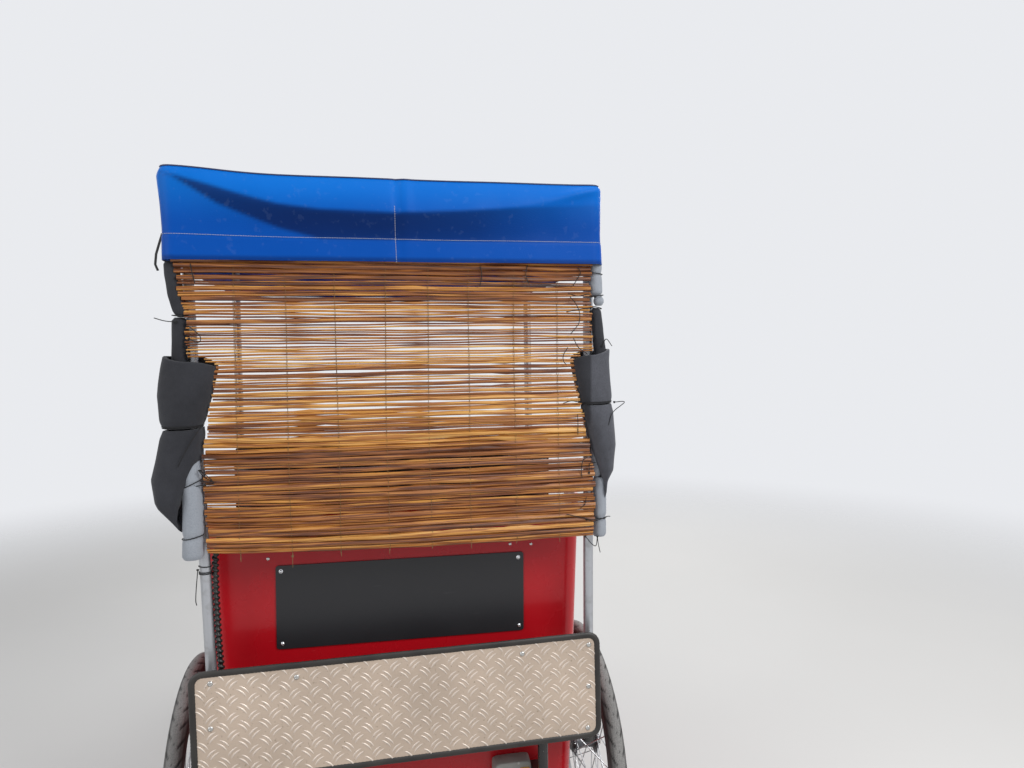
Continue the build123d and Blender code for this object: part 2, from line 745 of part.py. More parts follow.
with BuildPart() as plate_trim:
    with BuildSketch(plate_plane.offset(-TRIM_T / 2 + SHEET_T / 2)):
        RectangleRounded(PLATE_W, PLATE_H, PLATE_CORNER)
        RectangleRounded(
            PLATE_W - 2 * TRIM_W, PLATE_H - 2 * TRIM_W, PLATE_CORNER - TRIM_W, mode=Mode.SUBTRACT
        )
    extrude(amount=TRIM_T)
    fillet(plate_trim.faces().sort_by(Axis.X)[0].edges(), 3.0)
    with BuildSketch(plate_plane):
        RectangleRounded(PLATE_W - TRIM_W, PLATE_H - TRIM_W, PLATE_CORNER - TRIM_W / 2)
    extrude(amount=SHEET_T, mode=Mode.SUBTRACT)
save("plate_trim", plate_trim)

# Sign board: a sheet on the tub's rear wall
SIGN_W = 600.0
SIGN_H = 200.0
SIGN_T = 3.0
SIGN_Y = -5.0
SIGN_Z = 868.0
SIGN_TILT = 0.5
sign_plane = Plane(
    origin=(fore(TUB_BACK), SIGN_Y, SIGN_Z),
    x_dir=(0, -cos(radians(SIGN_TILT)), -sin(radians(SIGN_TILT))),
    z_dir=(-1, 0, 0),
)
with BuildPart() as sign_board:
    with BuildSketch(sign_plane):
        RectangleRounded(SIGN_W, SIGN_H, 7.0)
    extrude(amount=SIGN_T)
save("sign_board", sign_board)

# Tail lamps low on the tub's rear wall
LAMP_Y = 262.0
LAMP_Z = 409.0
LAMP_W = 96.0
LAMP_H = 80.0
LAMP_D = 45.0
with BuildPart() as tail_lamps:
    for side in (1, -1):
        block(
            (fore(TUB_BACK - LAMP_D / 2), side * LAMP_Y, LAMP_Z),
            (LAMP_D, LAMP_W, LAMP_H),
        )
    fillet(tail_lamps.edges().filter_by(Axis.X), 8.0)
save("tail_lamps", tail_lamps)

# Saddle and its post
saddle_clamp = Vector(*SEAT_TUBE_TOP) + seat_dir * 175.0
post_start = Vector(*SEAT_TUBE_TOP) - seat_dir * 100.0
with BuildPart() as seat_post:
    rod(tuple(post_start), tuple(saddle_clamp), SEAT_POST_R)
    block((saddle_clamp.X, 0.0, saddle_clamp.Z + 8.0), (60.0, 46.0, 20.0))
save("seat_post", seat_post)

SADDLE_Z = saddle_clamp.Z + 18.0
# columns: distance ahead of the clamp, half width, crown height, underside height
SADDLE_SECTIONS = (
    (-125.0, 70.0, 66.0, 22.0),
    (-85.0, 108.0, 74.0, 8.0),
    (-10.0, 84.0, 66.0, 0.0),
    (70.0, 34.0, 58.0, 8.0),
    (140.0, 18.0, 50.0, 24.0),
)
with BuildPart() as saddle:
    for ahead, half, crown, under in SADDLE_SECTIONS:
        with BuildSketch(Plane(origin=(saddle_clamp.X + ahead, 0, SADDLE_Z), x_dir=(0, 1, 0), z_dir=(1, 0, 0))):
            with BuildLine():
                Polyline((-half, under + 6.0), (-half * 0.7, under), (half * 0.7, under), (half, under + 6.0))
                ThreePointArc((half, under + 6.0), (0, crown), (-half, under + 6.0))
            make_face()
    loft(ruled=True)
save("saddle", saddle)

# Fork: steerer, crown, two raked blades and their tips
BLADE_Y = 52.0
blade_knee = steering_point(-FORK_LENGTH * 0.72)
with BuildPart() as fork:
    rod(steering_point(0.0), steering_point(HEAD_HIGH + 14.0), STEERER_R)
    with BuildSketch(
        Plane(origin=steering_point(-14.0), x_dir=(0, 1, 0), z_dir=Vector(*steering_point(1.0)) - Vector(*steering_point(0.0)))
    ):
        SlotOverall(2 * BLADE_Y + 30.0, 32.0)
    extrude(amount=26.0)
    for side in (1, -1):
        knee = (blade_knee[0], side * BLADE_Y, blade_knee[2])
        bent_rod(
            [
                (CROWN_X, side * BLADE_Y, CROWN_Z),
                knee,
                (FRONT_AXLE_X, side * BLADE_Y, AXLE_Z),
            ],
            220.0,
            10.0,
        )
        with BuildSketch(Plane(origin=(FRONT_AXLE_X, side * BLADE_Y + 4.0, AXLE_Z), z_dir=(0, -1, 0))) as tip:
            Circle(15.0)
        extrude(tip.sketch, amount=8.0)
    pipe(steering_point(HEAD_HIGH + 0.5), steering_point(HEAD_HIGH + 14.0), 20.0, STEERER_R - 1.0)
    drill((FRONT_AXLE_X, -80.0, AXLE_Z), (FRONT_AXLE_X, 80.0, AXLE_Z), FRONT_AXLE_R)
save("fork", fork)

FRONT_AXLE_HALF = 80.0
AXLE_NUT_Y = 62.0
AXLE_NUT_T = 9.0
with BuildPart() as front_axle:
    rod(
        (FRONT_AXLE_X, -FRONT_AXLE_HALF, AXLE_Z),
        (FRONT_AXLE_X, FRONT_AXLE_HALF, AXLE_Z),
        FRONT_AXLE_R,
    )
    for side in (1, -1):
        nut_face = Plane(origin=(FRONT_AXLE_X, side * AXLE_NUT_Y, AXLE_Z), z_dir=(0, side, 0))
        with BuildSketch(nut_face) as nut:
            RegularPolygon(9.0, 6)
        extrude(nut.sketch, amount=AXLE_NUT_T)
save("front_axle", front_axle)

# Stem and handlebar
STEM_TOP = HEAD_HIGH + 150.0
bar_centre = steering_point(STEM_TOP, 70.0)
with BuildPart() as stem:
    rod(steering_point(HEAD_HIGH + 14.0), steering_point(STEM_TOP), 11.0)
    rod(steering_point(STEM_TOP), bar_centre, 12.0)
    rod((bar_centre[0], -22.0, bar_centre[2]), (bar_centre[0], 22.0, bar_centre[2]), 17.0)
    drill((bar_centre[0], -30.0, bar_centre[2]), (bar_centre[0], 30.0, bar_centre[2]), 11.1)
save("stem", stem)

GRIP_END = (bar_centre[0] - 250.0, 305.0, bar_centre[2] + 30.0)
BAR_POINTS = (
    (bar_centre[0], 82.0, bar_centre[2]),
    (bar_centre[0] + 8.0, 160.0, bar_centre[2] + 40.0),
    (bar_centre[0] - 30.0, 268.0, bar_centre[2] + 58.0),
    GRIP_END,
)
bar_run = list(BAR_POINTS[::-1]) + [mirrored(p) for p in BAR_POINTS]
with BuildPart() as handlebar:
    bent_rod(bar_run, 44.0, 11.1)
save("handlebar", handlebar)

bar_dir = (Vector(*BAR_POINTS[2]) - Vector(*GRIP_END)).normalized()
grip_start = Vector(*GRIP_END) + bar_dir * 4.0
grip_end = Vector(*GRIP_END) + bar_dir * 124.0
with BuildPart() as grips:
    pipe(tuple(grip_start), tuple(grip_end), 16.0, 11.1)
    pipe(mirrored(tuple(grip_start)), mirrored(tuple(grip_end)), 16.0, 11.1)
save("grips", grips)

# Brake levers: a band round the bar and a blade ahead of each grip
band_start = Vector(*GRIP_END) + bar_dir * 130.0
band_end = Vector(*GRIP_END) + bar_dir * 152.0
band_mid = (band_start + band_end) * 0.5
lever_root = (band_mid.X + 4.0, band_mid.Y + 34.0, band_mid.Z - 8.0)
lever_tip = (GRIP_END[0] + 36.0, GRIP_END[1] + 46.0, GRIP_END[2] - 16.0)
with BuildPart() as brake_levers:
    for flip in (1, -1):
        ends = [(p[0], flip * p[1], p[2]) for p in (tuple(band_start), tuple(band_end))]
        pipe(ends[0], ends[1], 17.0, 11.1)
        root = (lever_root[0], flip * lever_root[1], lever_root[2])
        tip = (lever_tip[0], flip * lever_tip[1], lever_tip[2])
        mid = (band_mid.X, flip * (band_mid.Y + 14.0), band_mid.Z - 2.0)
        rod(mid, root, 6.0)
        rod(root, tip, 5.0)
save("brake_levers", brake_levers)

# Headlamp on a bracket ahead of the fork crown
lamp_seat = steering_point(-2.0, 16.0)
lamp_knee = steering_point(-2.0, 58.0)
lamp_centre = (lamp_knee[0] + 4.0, 0.0, lamp_knee[2] + 62.0)
with BuildPart() as headlamp:
    bent_rod(
        [lamp_seat, lamp_knee, (lamp_centre[0], 0.0, lamp_centre[2] - 20.0)],
        14.0,
        4.0,
    )
    with BuildSketch(Plane.XZ):
        with BuildLine():
            Polyline(
                (lamp_centre[0] - 42.0, lamp_centre[2]),
                (lamp_centre[0] - 42.0, lamp_centre[2] + 10.0),
                (lamp_centre[0] - 10.0, lamp_centre[2] + 34.0),
                (lamp_centre[0] + 22.0, lamp_centre[2] + 40.0),
                (lamp_centre[0] + 30.0, lamp_centre[2] + 34.0),
                (lamp_centre[0] + 30.0, lamp_centre[2]),
                close=True,
            )
        make_face()
    revolve(axis=Axis((lamp_centre[0], 0.0, lamp_centre[2]), (1, 0, 0)))
save("headlamp", headlamp)

# Front mudguard: an arched shell over the tyre with its bridge to the crown
GUARD_R = WHEEL_R + 14.0
GUARD_T = 2.0
GUARD_HALF = 31.0
GUARD_SIDE = GUARD_R - 10.0
GUARD_AHEAD = radians(38.0)
GUARD_ARC = 142.0
guard_plane = Plane(
    origin=(FRONT_AXLE_X, 0, AXLE_Z),
    x_dir=(0, 1, 0),
    z_dir=(cos(GUARD_AHEAD), 0, -sin(GUARD_AHEAD)),
)
with BuildPart() as front_mudguard:
    with BuildSketch(guard_plane):
        with BuildLine():
            ThreePointArc((-GUARD_HALF, GUARD_SIDE), (0, GUARD_R + GUARD_T), (GUARD_HALF, GUARD_SIDE))
            Line((GUARD_HALF, GUARD_SIDE), (GUARD_HALF - GUARD_T, GUARD_SIDE))
            ThreePointArc(
                (GUARD_HALF - GUARD_T, GUARD_SIDE), (0, GUARD_R), (GUARD_T - GUARD_HALF, GUARD_SIDE)
            )
            Line((GUARD_T - GUARD_HALF, GUARD_SIDE), (-GUARD_HALF, GUARD_SIDE))
        make_face()
    revolve(axis=Axis((FRONT_AXLE_X, 0, AXLE_Z), (0, 1, 0)), revolution_arc=-GUARD_ARC)
save("front_mudguard", front_mudguard)


# Wheels: rim, crossed spokes and hub fused, with the tyre as its own piece
def wheel_profile(axle_x):
    """Adds the rim's ring to the part being built."""
    with BuildSketch(Plane(origin=(axle_x, 0, AXLE_Z), x_dir=(0, 1, 0), z_dir=(1, 0, 0))) as ring:
        with BuildLine():
            Polyline(
                (-RIM_W / 2, RIM_R),
                (-RIM_W / 2 + 3.0, RIM_R - RIM_DEPTH + 3.0),
                (-7.0, RIM_R - RIM_DEPTH),
                (7.0, RIM_R - RIM_DEPTH),
                (RIM_W / 2 - 3.0, RIM_R - RIM_DEPTH + 3.0),
                (RIM_W / 2, RIM_R),
                close=True,
            )
        make_face()
    return ring.sketch


def spoked_wheel(axle_x, hub_half, hub_r, flange_r, bore_r):
    """Builds a rim, its crossed spokes and the hub about an axle along Y."""
    axis = Axis((axle_x, 0, AXLE_Z), (0, 1, 0))
    with BuildPart() as wheel:
        rod((axle_x, -hub_half, AXLE_Z), (axle_x, hub_half, AXLE_Z), hub_r)
        for side in (1, -1):
            edge = side * (hub_half - 8.0)
            rod((axle_x, edge, AXLE_Z), (axle_x, edge - side * FLANGE_T, AXLE_Z), flange_r)
        revolve(wheel_profile(axle_x), axis=axis)
        spokes = []
        for i in range(SPOKES):
            side = 1 if i % 2 else -1
            lean = 1 if (i // 2) % 2 else -1
            rim_angle = 2 * pi * i / SPOKES
            hub_angle = rim_angle + lean * radians(SPOKE_SWEEP)
            flange_y = side * (hub_half - 8.0 - FLANGE_T / 2)
            hub_reach = flange_r - 4.0
            rim_reach = RIM_R - RIM_DEPTH + 2.0
            start = Vector(
                axle_x + hub_reach * cos(hub_angle), flange_y, AXLE_Z + hub_reach * sin(hub_angle)
            )
            end = Vector(axle_x + rim_reach * cos(rim_angle), 0.0, AXLE_Z + rim_reach * sin(rim_angle))
            with BuildSketch(Plane(origin=start, z_dir=end - start)) as section:
                Rectangle(SPOKE_T, SPOKE_T)
            spokes.append(
                extrude(section.sketch, amount=(end - start).length, mode=Mode.PRIVATE)
            )
        add(spokes)
        drill((axle_x, -hub_half - 5.0, AXLE_Z), (axle_x, hub_half + 5.0, AXLE_Z), bore_r)
    return wheel.part


def tyre(axle_x):
    """Builds a tyre as a ring that sits on the rim."""
    half = TYRE_SHOULDER
    with BuildPart() as ring:
        with BuildSketch(Plane(origin=(axle_x, 0, AXLE_Z), x_dir=(0, 1, 0), z_dir=(1, 0, 0))):
            with BuildLine():
                Polyline((-BEAD_HALF, -RIM_R), (BEAD_HALF, -RIM_R), (half, -RIM_R - 26.0))
                ThreePointArc((half, -RIM_R - 26.0), (0, -WHEEL_R), (-half, -RIM_R - 26.0))
                Line((-half, -RIM_R - 26.0), (-BEAD_HALF, -RIM_R))
            make_face()
        revolve(axis=Axis((axle_x, 0, AXLE_Z), (0, 1, 0)))
    return ring.part


front_wheel_part = spoked_wheel(
    FRONT_AXLE_X, FRONT_HUB_HALF, FRONT_HUB_R, FRONT_FLANGE_R, FRONT_AXLE_R + RUNNING_GAP
)
rear_wheel_part = spoked_wheel(AXLE_X, REAR_HUB_HALF, REAR_HUB_R, REAR_FLANGE_R, SHAFT_R)
# columns: name, wheel, axle X, Y
WHEELS = (
    ("front", front_wheel_part, FRONT_AXLE_X, 0.0),
    ("rear_left", rear_wheel_part, AXLE_X, TRACK / 2),
    ("rear_right", rear_wheel_part, AXLE_X, -TRACK / 2),
)
for name, wheel_part, axle_x, y in WHEELS:
    with BuildPart() as wheel_piece:
        add(wheel_part.moved(Location((0, y, 0))))
    save(f"{name}_wheel", wheel_piece)
    with BuildPart() as tyre_piece:
        add(tyre(axle_x).moved(Location((0, y, 0))))
    save(f"{name}_tyre", tyre_piece)

# Half shafts: from the differential through two blocks and the hub to the end nut
SHAFT_IN = 24.0
SHAFT_OUT = TRACK / 2 + REAR_HUB_HALF + 4.0
for name, side in (("left", 1), ("right", -1)):
    with BuildPart() as half_shaft:
        rod((AXLE_X, side * SHAFT_IN, AXLE_Z), (AXLE_X, side * (SHAFT_OUT - 4.0), AXLE_Z), SHAFT_R)
        with BuildSketch(
            Plane(origin=(AXLE_X, side * (TRACK / 2 + REAR_HUB_HALF), AXLE_Z), z_dir=(0, side, 0))
        ) as nut:
            RegularPolygon(19.0, 6)
        extrude(nut.sketch, amount=4.0)
    save(f"half_shaft_{name}", half_shaft)

# Crankset: spindle and two arms, with the chainring on the right
with BuildPart() as crankset:
    rod((BB_X, -CRANK_Y, BB_Z), (BB_X, CRANK_Y, BB_Z), 8.0)
    for side in (1, -1):
        eye = (BB_X + side * CRANK_L, BB_Z)
        with BuildSketch(Plane(origin=(BB_X, side * (CRANK_Y - 7.0), BB_Z), x_dir=(side, 0, 0), z_dir=(0, side, 0))) as arm:
            with BuildLine():
                Polyline((0, 15.0), (CRANK_L, 10.0), (CRANK_L, -10.0), (0, -15.0), close=True)
            make_face()
            Circle(17.0)
            with Locations((CRANK_L, 0)):
                Circle(12.0)
        extrude(arm.sketch, amount=14.0)
        rod(
            (eye[0], side * (CRANK_Y + 5.0), eye[1]),
            (eye[0], side * (PEDAL_Y + 46.0), eye[1]),
            6.0,
        )
save("crankset", crankset)

RING_TIP = RING_R - LINK_HALF - 0.8
with BuildPart() as chainring:
    with BuildSketch(
        Plane(origin=(BB_X, CHAIN_Y + CHAIN_GAP / 2 - 0.4, BB_Z), x_dir=(1, 0, 0), z_dir=(0, -1, 0))
    ) as ring:
        add(toothed_outline(CHAINRING_TEETH, RING_TIP - 4.0, RING_TIP))
        Circle(RING_TIP - 14.0, mode=Mode.SUBTRACT)
        Circle(24.0)
        with PolarLocations(0, 5):
            with Locations((RING_TIP / 2 + 2.0, 0)):
                Rectangle(RING_TIP - 20.0, 14.0)
        Circle(8.0, mode=Mode.SUBTRACT)
    extrude(ring.sketch, amount=CHAIN_GAP - 0.8)
save("chainring", chainring)

# Pedals: two side plates and two treads round the spindle
for name, side in (("left", 1), ("right", -1)):
    eye_x = BB_X + side * CRANK_L
    with BuildPart() as pedal:
        rod((eye_x, side * (PEDAL_Y - 32.0), BB_Z), (eye_x, side * (PEDAL_Y + 44.0), BB_Z), 10.0)
        for end in (-30.0, 40.0):
            block((eye_x, side * (PEDAL_Y + end), BB_Z), (84.0, 3.0, 14.0))
        for ahead in (-1, 1):
            block((eye_x + ahead * 32.0, side * (PEDAL_Y + 5.0), BB_Z), (18.0, 74.0, 22.0))
        drill(
            (eye_x, side * (PEDAL_Y - 40.0), BB_Z),
            (eye_x, side * (PEDAL_Y + 60.0), BB_Z),
            6.0 + RUNNING_GAP,
        )
    save(f"pedal_{name}", pedal)
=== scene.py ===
"""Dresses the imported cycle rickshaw: cloth, reeds, foam, cushions, tread and fittings.

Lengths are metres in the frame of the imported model: +X forward, +Y to the rider's left.
"""

from __future__ import annotations

import json
import logging
import math
from dataclasses import dataclass
from enum import Enum
from random import Random
from typing import Any, NamedTuple, Sequence

import bmesh
import bpy
import numpy as np
from mathutils import Matrix, Vector, noise

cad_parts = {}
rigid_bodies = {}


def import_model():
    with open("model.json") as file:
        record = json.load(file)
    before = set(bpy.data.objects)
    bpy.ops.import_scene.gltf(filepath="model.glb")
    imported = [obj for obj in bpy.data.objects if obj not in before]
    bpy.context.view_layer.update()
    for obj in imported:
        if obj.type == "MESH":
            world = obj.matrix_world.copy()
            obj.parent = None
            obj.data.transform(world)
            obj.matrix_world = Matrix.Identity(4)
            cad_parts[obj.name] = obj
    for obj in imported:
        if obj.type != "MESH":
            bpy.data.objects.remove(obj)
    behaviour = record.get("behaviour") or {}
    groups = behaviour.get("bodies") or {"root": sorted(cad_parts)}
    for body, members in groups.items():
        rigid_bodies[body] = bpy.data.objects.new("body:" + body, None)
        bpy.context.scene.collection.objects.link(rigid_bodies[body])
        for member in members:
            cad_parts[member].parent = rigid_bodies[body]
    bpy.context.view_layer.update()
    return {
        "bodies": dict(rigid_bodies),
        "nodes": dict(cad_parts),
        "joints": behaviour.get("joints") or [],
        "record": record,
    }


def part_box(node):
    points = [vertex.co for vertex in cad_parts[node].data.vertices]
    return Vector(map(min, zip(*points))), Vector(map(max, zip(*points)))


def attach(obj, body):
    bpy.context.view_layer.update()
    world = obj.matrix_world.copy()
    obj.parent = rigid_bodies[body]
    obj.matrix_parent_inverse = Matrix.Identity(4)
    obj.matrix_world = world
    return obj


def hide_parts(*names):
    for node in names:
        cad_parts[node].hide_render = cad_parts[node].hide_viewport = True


LOG = logging.getLogger("rickshaw")
Colour = tuple[float, float, float]
Point = tuple[float, float, float]
AXLE_X = -0.9155
AXLE_Z = 0.335
FRONT_X = 0.9345


class Body(Enum):
    """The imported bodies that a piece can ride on."""

    FRAME = "frame"
    STEERING = "steering"
    FRONT_WHEEL = "front_wheel_set"
    LEFT_WHEEL = "rear_wheel_left_set"
    RIGHT_WHEEL = "rear_wheel_right_set"
    CRANK = "crank"
    LEFT_PEDAL = "pedal_left_set"
    RIGHT_PEDAL = "pedal_right_set"


def ahead(distance: float) -> float:
    """Gives the X of a point this far ahead of the rear axle."""
    return AXLE_X + distance


def tint(code: str) -> Colour:
    """Turns a hex colour into the linear colour that a socket takes.

    Args:
        code: Six hex digits.

    Returns:
        Linear red, green and blue.
    """
    parts = [int(code[i : i + 2], 16) / 255 for i in (0, 2, 4)]
    return tuple(c / 12.92 if c <= 0.04045 else ((c + 0.055) / 1.055) ** 2.4 for c in parts)


def ease(value: float, low: float, high: float) -> float:
    """Rises smoothly from 0 at low to 1 at high."""
    share = min(1.0, max(0.0, (value - low) / (high - low)))
    return share * share * (3 - 2 * share)


def bell(distance: float, width: float) -> float:
    """Falls smoothly from 1 at no distance to nearly 0 at two widths."""
    return math.exp(-((distance / width) ** 2))


def signed_power(value: float, power: float) -> float:
    """Raises a value to a power and keeps its sign."""
    return math.copysign(abs(value) ** power, value)


def spoke(turn: float) -> Vector:
    """Gives the direction at an angle in the wheels' plane."""
    return Vector((math.cos(turn), 0.0, math.sin(turn)))


def circle(count: int) -> list[tuple[float, float]]:
    """Lists the cosine and sine of evenly spaced angles."""
    turns = [2 * math.pi * k / count for k in range(count)]
    return [(math.cos(turn), math.sin(turn)) for turn in turns]


def hoop(
    centre: Vector, first: Vector, second: Vector, radius: float, sides: int
) -> list[Vector]:
    """Lists the points of a round or oval ring across two directions."""
    ring = [(radius * cos, radius * sin) for cos, sin in circle(sides)]
    return [centre + first * a + second * b for a, b in ring]


def read_table(table: Sequence[Sequence[float]], value: float) -> list[float]:
    """Interpolates a table's other columns at a value of its first one."""
    keys = [row[0] for row in table]
    return [float(np.interp(value, keys, column)) for column in list(zip(*table))[1:]]


# Shaders


class Socket:
    """A shader socket that takes part in Python arithmetic."""

    def __init__(self, graph: Graph, link: bpy.types.NodeSocket) -> None:
        """Wraps one output socket of a graph."""
        self.graph = graph
        self.link = link

    def math(self, operation: str, first: Any, second: Any = 0.0) -> Socket:
        """Adds one Math node on two values."""
        return self.graph.add("ShaderNodeMath", {"operation": operation}, {0: first, 1: second})

    def __add__(self, other: Any) -> Socket:
        """Adds."""
        return self.math("ADD", self, other)

    __radd__ = __add__

    def __sub__(self, other: Any) -> Socket:
        """Subtracts."""
        return self.math("SUBTRACT", self, other)

    def __rsub__(self, other: Any) -> Socket:
        """Subtracts this from a number."""
        return self.math("SUBTRACT", other, self)

    def __mul__(self, other: Any) -> Socket:
        """Multiplies."""
        return self.math("MULTIPLY", self, other)

    def __pow__(self, power: float) -> Socket:
        """Raises to a power."""
        return self.math("POWER", self, power)

    def sine(self) -> Socket:
        """Takes the sine."""
        return self.math("SINE", self)

    def over(self, edge: float, soft: float) -> Socket:
        """Gives a mask that is 1 above an edge.

        Args:
            edge: The value at the middle of the step.
            soft: Half the step's width.

        Returns:
            The mask.
        """
        ends = {"Value": self, "From Min": edge - soft, "From Max": edge + soft}
        return self.graph.add("ShaderNodeMapRange", {"interpolation_type": "SMOOTHSTEP"}, ends)


class Graph:
    """The node tree of one material or world."""

    def __init__(self, owner: bpy.types.ID) -> None:
        """Empties the owner's tree."""
        owner.use_nodes = True
        self.tree = owner.node_tree
        self.tree.nodes.clear()

    def add(
        self,
        kind: str,
        settings: dict[str, Any] | None = None,
        inputs: dict[Any, Any] | None = None,
        output: Any = 0,
    ) -> Socket:
        """Adds any node.

        Args:
            kind: The node's type.
            settings: Its properties, or stops for a ramp, set first.
            inputs: Values or sockets by input name or number.
            output: The output that is wanted.

        Returns:
            The wanted output.
        """
        node = self.tree.nodes.new(kind)
        for key, value in (settings or {}).items():
            if key == "stops":
                band = node.color_ramp.elements
                while len(band) < len(value):
                    band.new(0.5)
                for stop, (place, colour) in zip(band, value):
                    stop.position = place
                    stop.color = (*colour, 1.0)
            else:
                setattr(node, key, value)
        for key, value in (inputs or {}).items():
            socket = node.inputs[key]
            if isinstance(value, Socket):
                self.tree.links.new(value.link, socket)
            elif socket.type == "RGBA" and len(value) == 3:
                socket.default_value = (*value, 1.0)
            else:
                socket.default_value = value
        return Socket(self, node.outputs[output])

    def place(self, stretch: Point = (1.0, 1.0, 1.0), turn: Point = (0.0, 0.0, 0.0)) -> Socket:
        """Gives object coordinates, turned and stretched."""
        spot = self.add("ShaderNodeTexCoord", output="Object")
        if stretch == (1.0, 1.0, 1.0) and turn == (0.0, 0.0, 0.0):
            return spot
        return self.add("ShaderNodeMapping", None, {"Vector": spot, "Scale": stretch, "Rotation": turn})

    def axes(self) -> tuple[Socket, Socket, Socket]:
        """Gives the X, Y and Z object coordinates."""
        split = self.add("ShaderNodeSeparateXYZ", None, {0: self.place()})
        outputs = split.link.node.outputs
        return tuple(Socket(self, outputs[i]) for i in range(3))

    def stored(self, name: str) -> Socket:
        """Reads a number stored on the mesh."""
        return self.add("ShaderNodeAttribute", {"attribute_name": name}, output="Fac")

    def speckle(self, scale: float, detail: float = 3.0, spot: Socket | None = None) -> Socket:
        """Adds noise at this many features a metre."""
        inputs = {"Vector": spot or self.place(), "Scale": scale, "Detail": detail}
        return self.add("ShaderNodeTexNoise", None, inputs)

    def cells(self, scale: float, spot: Socket | None = None) -> Socket:
        """Adds a pattern of rounded cells."""
        inputs = {"Vector": spot or self.place(), "Scale": scale}
        return self.add("ShaderNodeTexVoronoi", {"feature": "F1"}, inputs)

    def ramp(self, value: Socket, stops: Sequence[tuple[float, Colour]]) -> Socket:
        """Turns a value into a colour."""
        return self.add("ShaderNodeValToRGB", {"stops": stops}, {"Fac": value})

    def mix(self, low: Any, high: Any, factor: Any) -> Socket:
        """Mixes two colours."""
        settings = {"data_type": "RGBA"}
        return self.add("ShaderNodeMix", settings, {0: factor, 6: low, 7: high}, output=2)

    def bump(self, height: Socket, depth: float, under: Socket | None = None) -> Socket:
        """Raises the surface.

        Args:
            height: The height, from 0 to 1.
            depth: Metres for a height of 1.
            under: A coarser bump to add to.

        Returns:
            The normal.
        """
        inputs = {"Height": height, "Distance": depth, "Strength": 1.0}
        if under is not None:
            inputs["Normal"] = under
        return self.add("ShaderNodeBump", None, inputs)

    def surface(self, **inputs: Any) -> None:
        """Ends the tree in a principled surface; an underscore stands for a space."""
        named = {key.replace("_", " "): value for key, value in inputs.items()}
        self.end(self.add("ShaderNodeBsdfPrincipled", None, named))

    def end(self, shell: Socket, output: str = "ShaderNodeOutputMaterial") -> None:
        """Ends the tree in a shader."""
        self.tree.links.new(shell.link, self.tree.nodes.new(output).inputs[0])


@dataclass(frozen=True)
class Finish:
    """A finish by its name, the record's slot and its main colour."""

    name: str
    slot: str
    colour: Colour

    def paint(self, graph: Graph) -> None:
        """Builds the finish's nodes."""
        raise NotImplementedError

    def material(self) -> bpy.types.Material:
        """Gives the material, made on the first call."""
        found = bpy.data.materials.get(self.name)
        if found is None:
            found = bpy.data.materials.new(self.name)
            self.paint(Graph(found))
        return found

    def shade(self, share: float) -> Colour:
        """Gives the main colour at a share of its strength."""
        return tuple(c * share for c in self.colour)


@dataclass(frozen=True)
class CoatedCloth(Finish):
    """Plastic-coated canopy cloth with a fine weave and scuffs, a painted highlight on its upper part
    and painted shade in its folds and at the hem's lower edge.
    """

    # faded: the painted highlight colour of the upper part; deep: the painted shade colour of the folds
    # and the hem's lower edge
    faded: Colour = (0.1, 0.3, 0.7)
    deep: Colour = (0.004, 0.03, 0.14)

    def paint(self, graph: Graph) -> None:
        """Builds the cloth's nodes."""
        x, y, z = graph.axes()
        pitch = 2 * math.pi / 0.0024
        weave = ((x + y) * pitch).sine() * ((z + x - y) * pitch).sine()
        # fade: noise that varies the strength of the painted highlight and of the painted fold shade
        fade = graph.speckle(2.2, 4.0)
        scuffs = graph.speckle(60.0, 8.0).over(0.64, 0.04)
        streaks = graph.speckle(9.0, 5.0, graph.place((1.0, 1.0, 0.25)))
        # painted highlight: the cloth above about 1.80 m is lightened
        painted_top_light = z.over(1.80, 0.055)
        fold = graph.stored("fold")
        tone = graph.mix(self.colour, self.faded, painted_top_light * (0.45 + fade * 0.5))
        # painted shade: the cloth in folds, marked by the fold attribute, is darkened
        tone = graph.mix(tone, self.deep, fold * (0.72 + fade * 0.2))
        # painted shade: the lowest part of the hem, below 1.684 m, is darkened
        tone = graph.mix(tone, self.deep, (1.0 - z.over(1.684, 0.005)) * 0.6)
        tone = graph.mix(tone, tint("8FA6C4"), scuffs * 0.04)
        folds = graph.bump(graph.speckle(6.0, 3.0), 0.003)
        graph.surface(
            Base_Color=tone,
            Roughness=0.34 + streaks * 0.16 + scuffs * 0.2,
            Specular_IOR_Level=0.12,
            Normal=graph.bump(weave, 0.00006, folds),
        )


@dataclass(frozen=True)
class GelCoat(Finish):
    """Glossy moulded skin that is a little wavy, with dust and fine scratches."""

    def paint(self, graph: Graph) -> None:
        """Builds the skin's nodes."""
        dust = graph.speckle(5.0, 6.0).over(0.58, 0.16)
        scratches = graph.speckle(30.0, 9.0, graph.place((1.0, 1.0, 7.0))).over(0.72, 0.02)
        tone = graph.mix(self.colour, self.shade(0.8), dust * 0.4)
        tone = graph.mix(tone, tint("A04A48"), scratches * 0.1)
        wave = graph.bump(graph.speckle(4.5, 2.0), 0.003)
        graph.surface(
            Base_Color=tone,
            Roughness=0.26 + dust * 0.14 + scratches * 0.2,
            Specular_IOR_Level=0.3,
            Coat_Weight=0.18,
            Coat_Roughness=0.1,
            Normal=graph.bump(graph.speckle(260.0, 2.0), 0.00012, wave),
        )


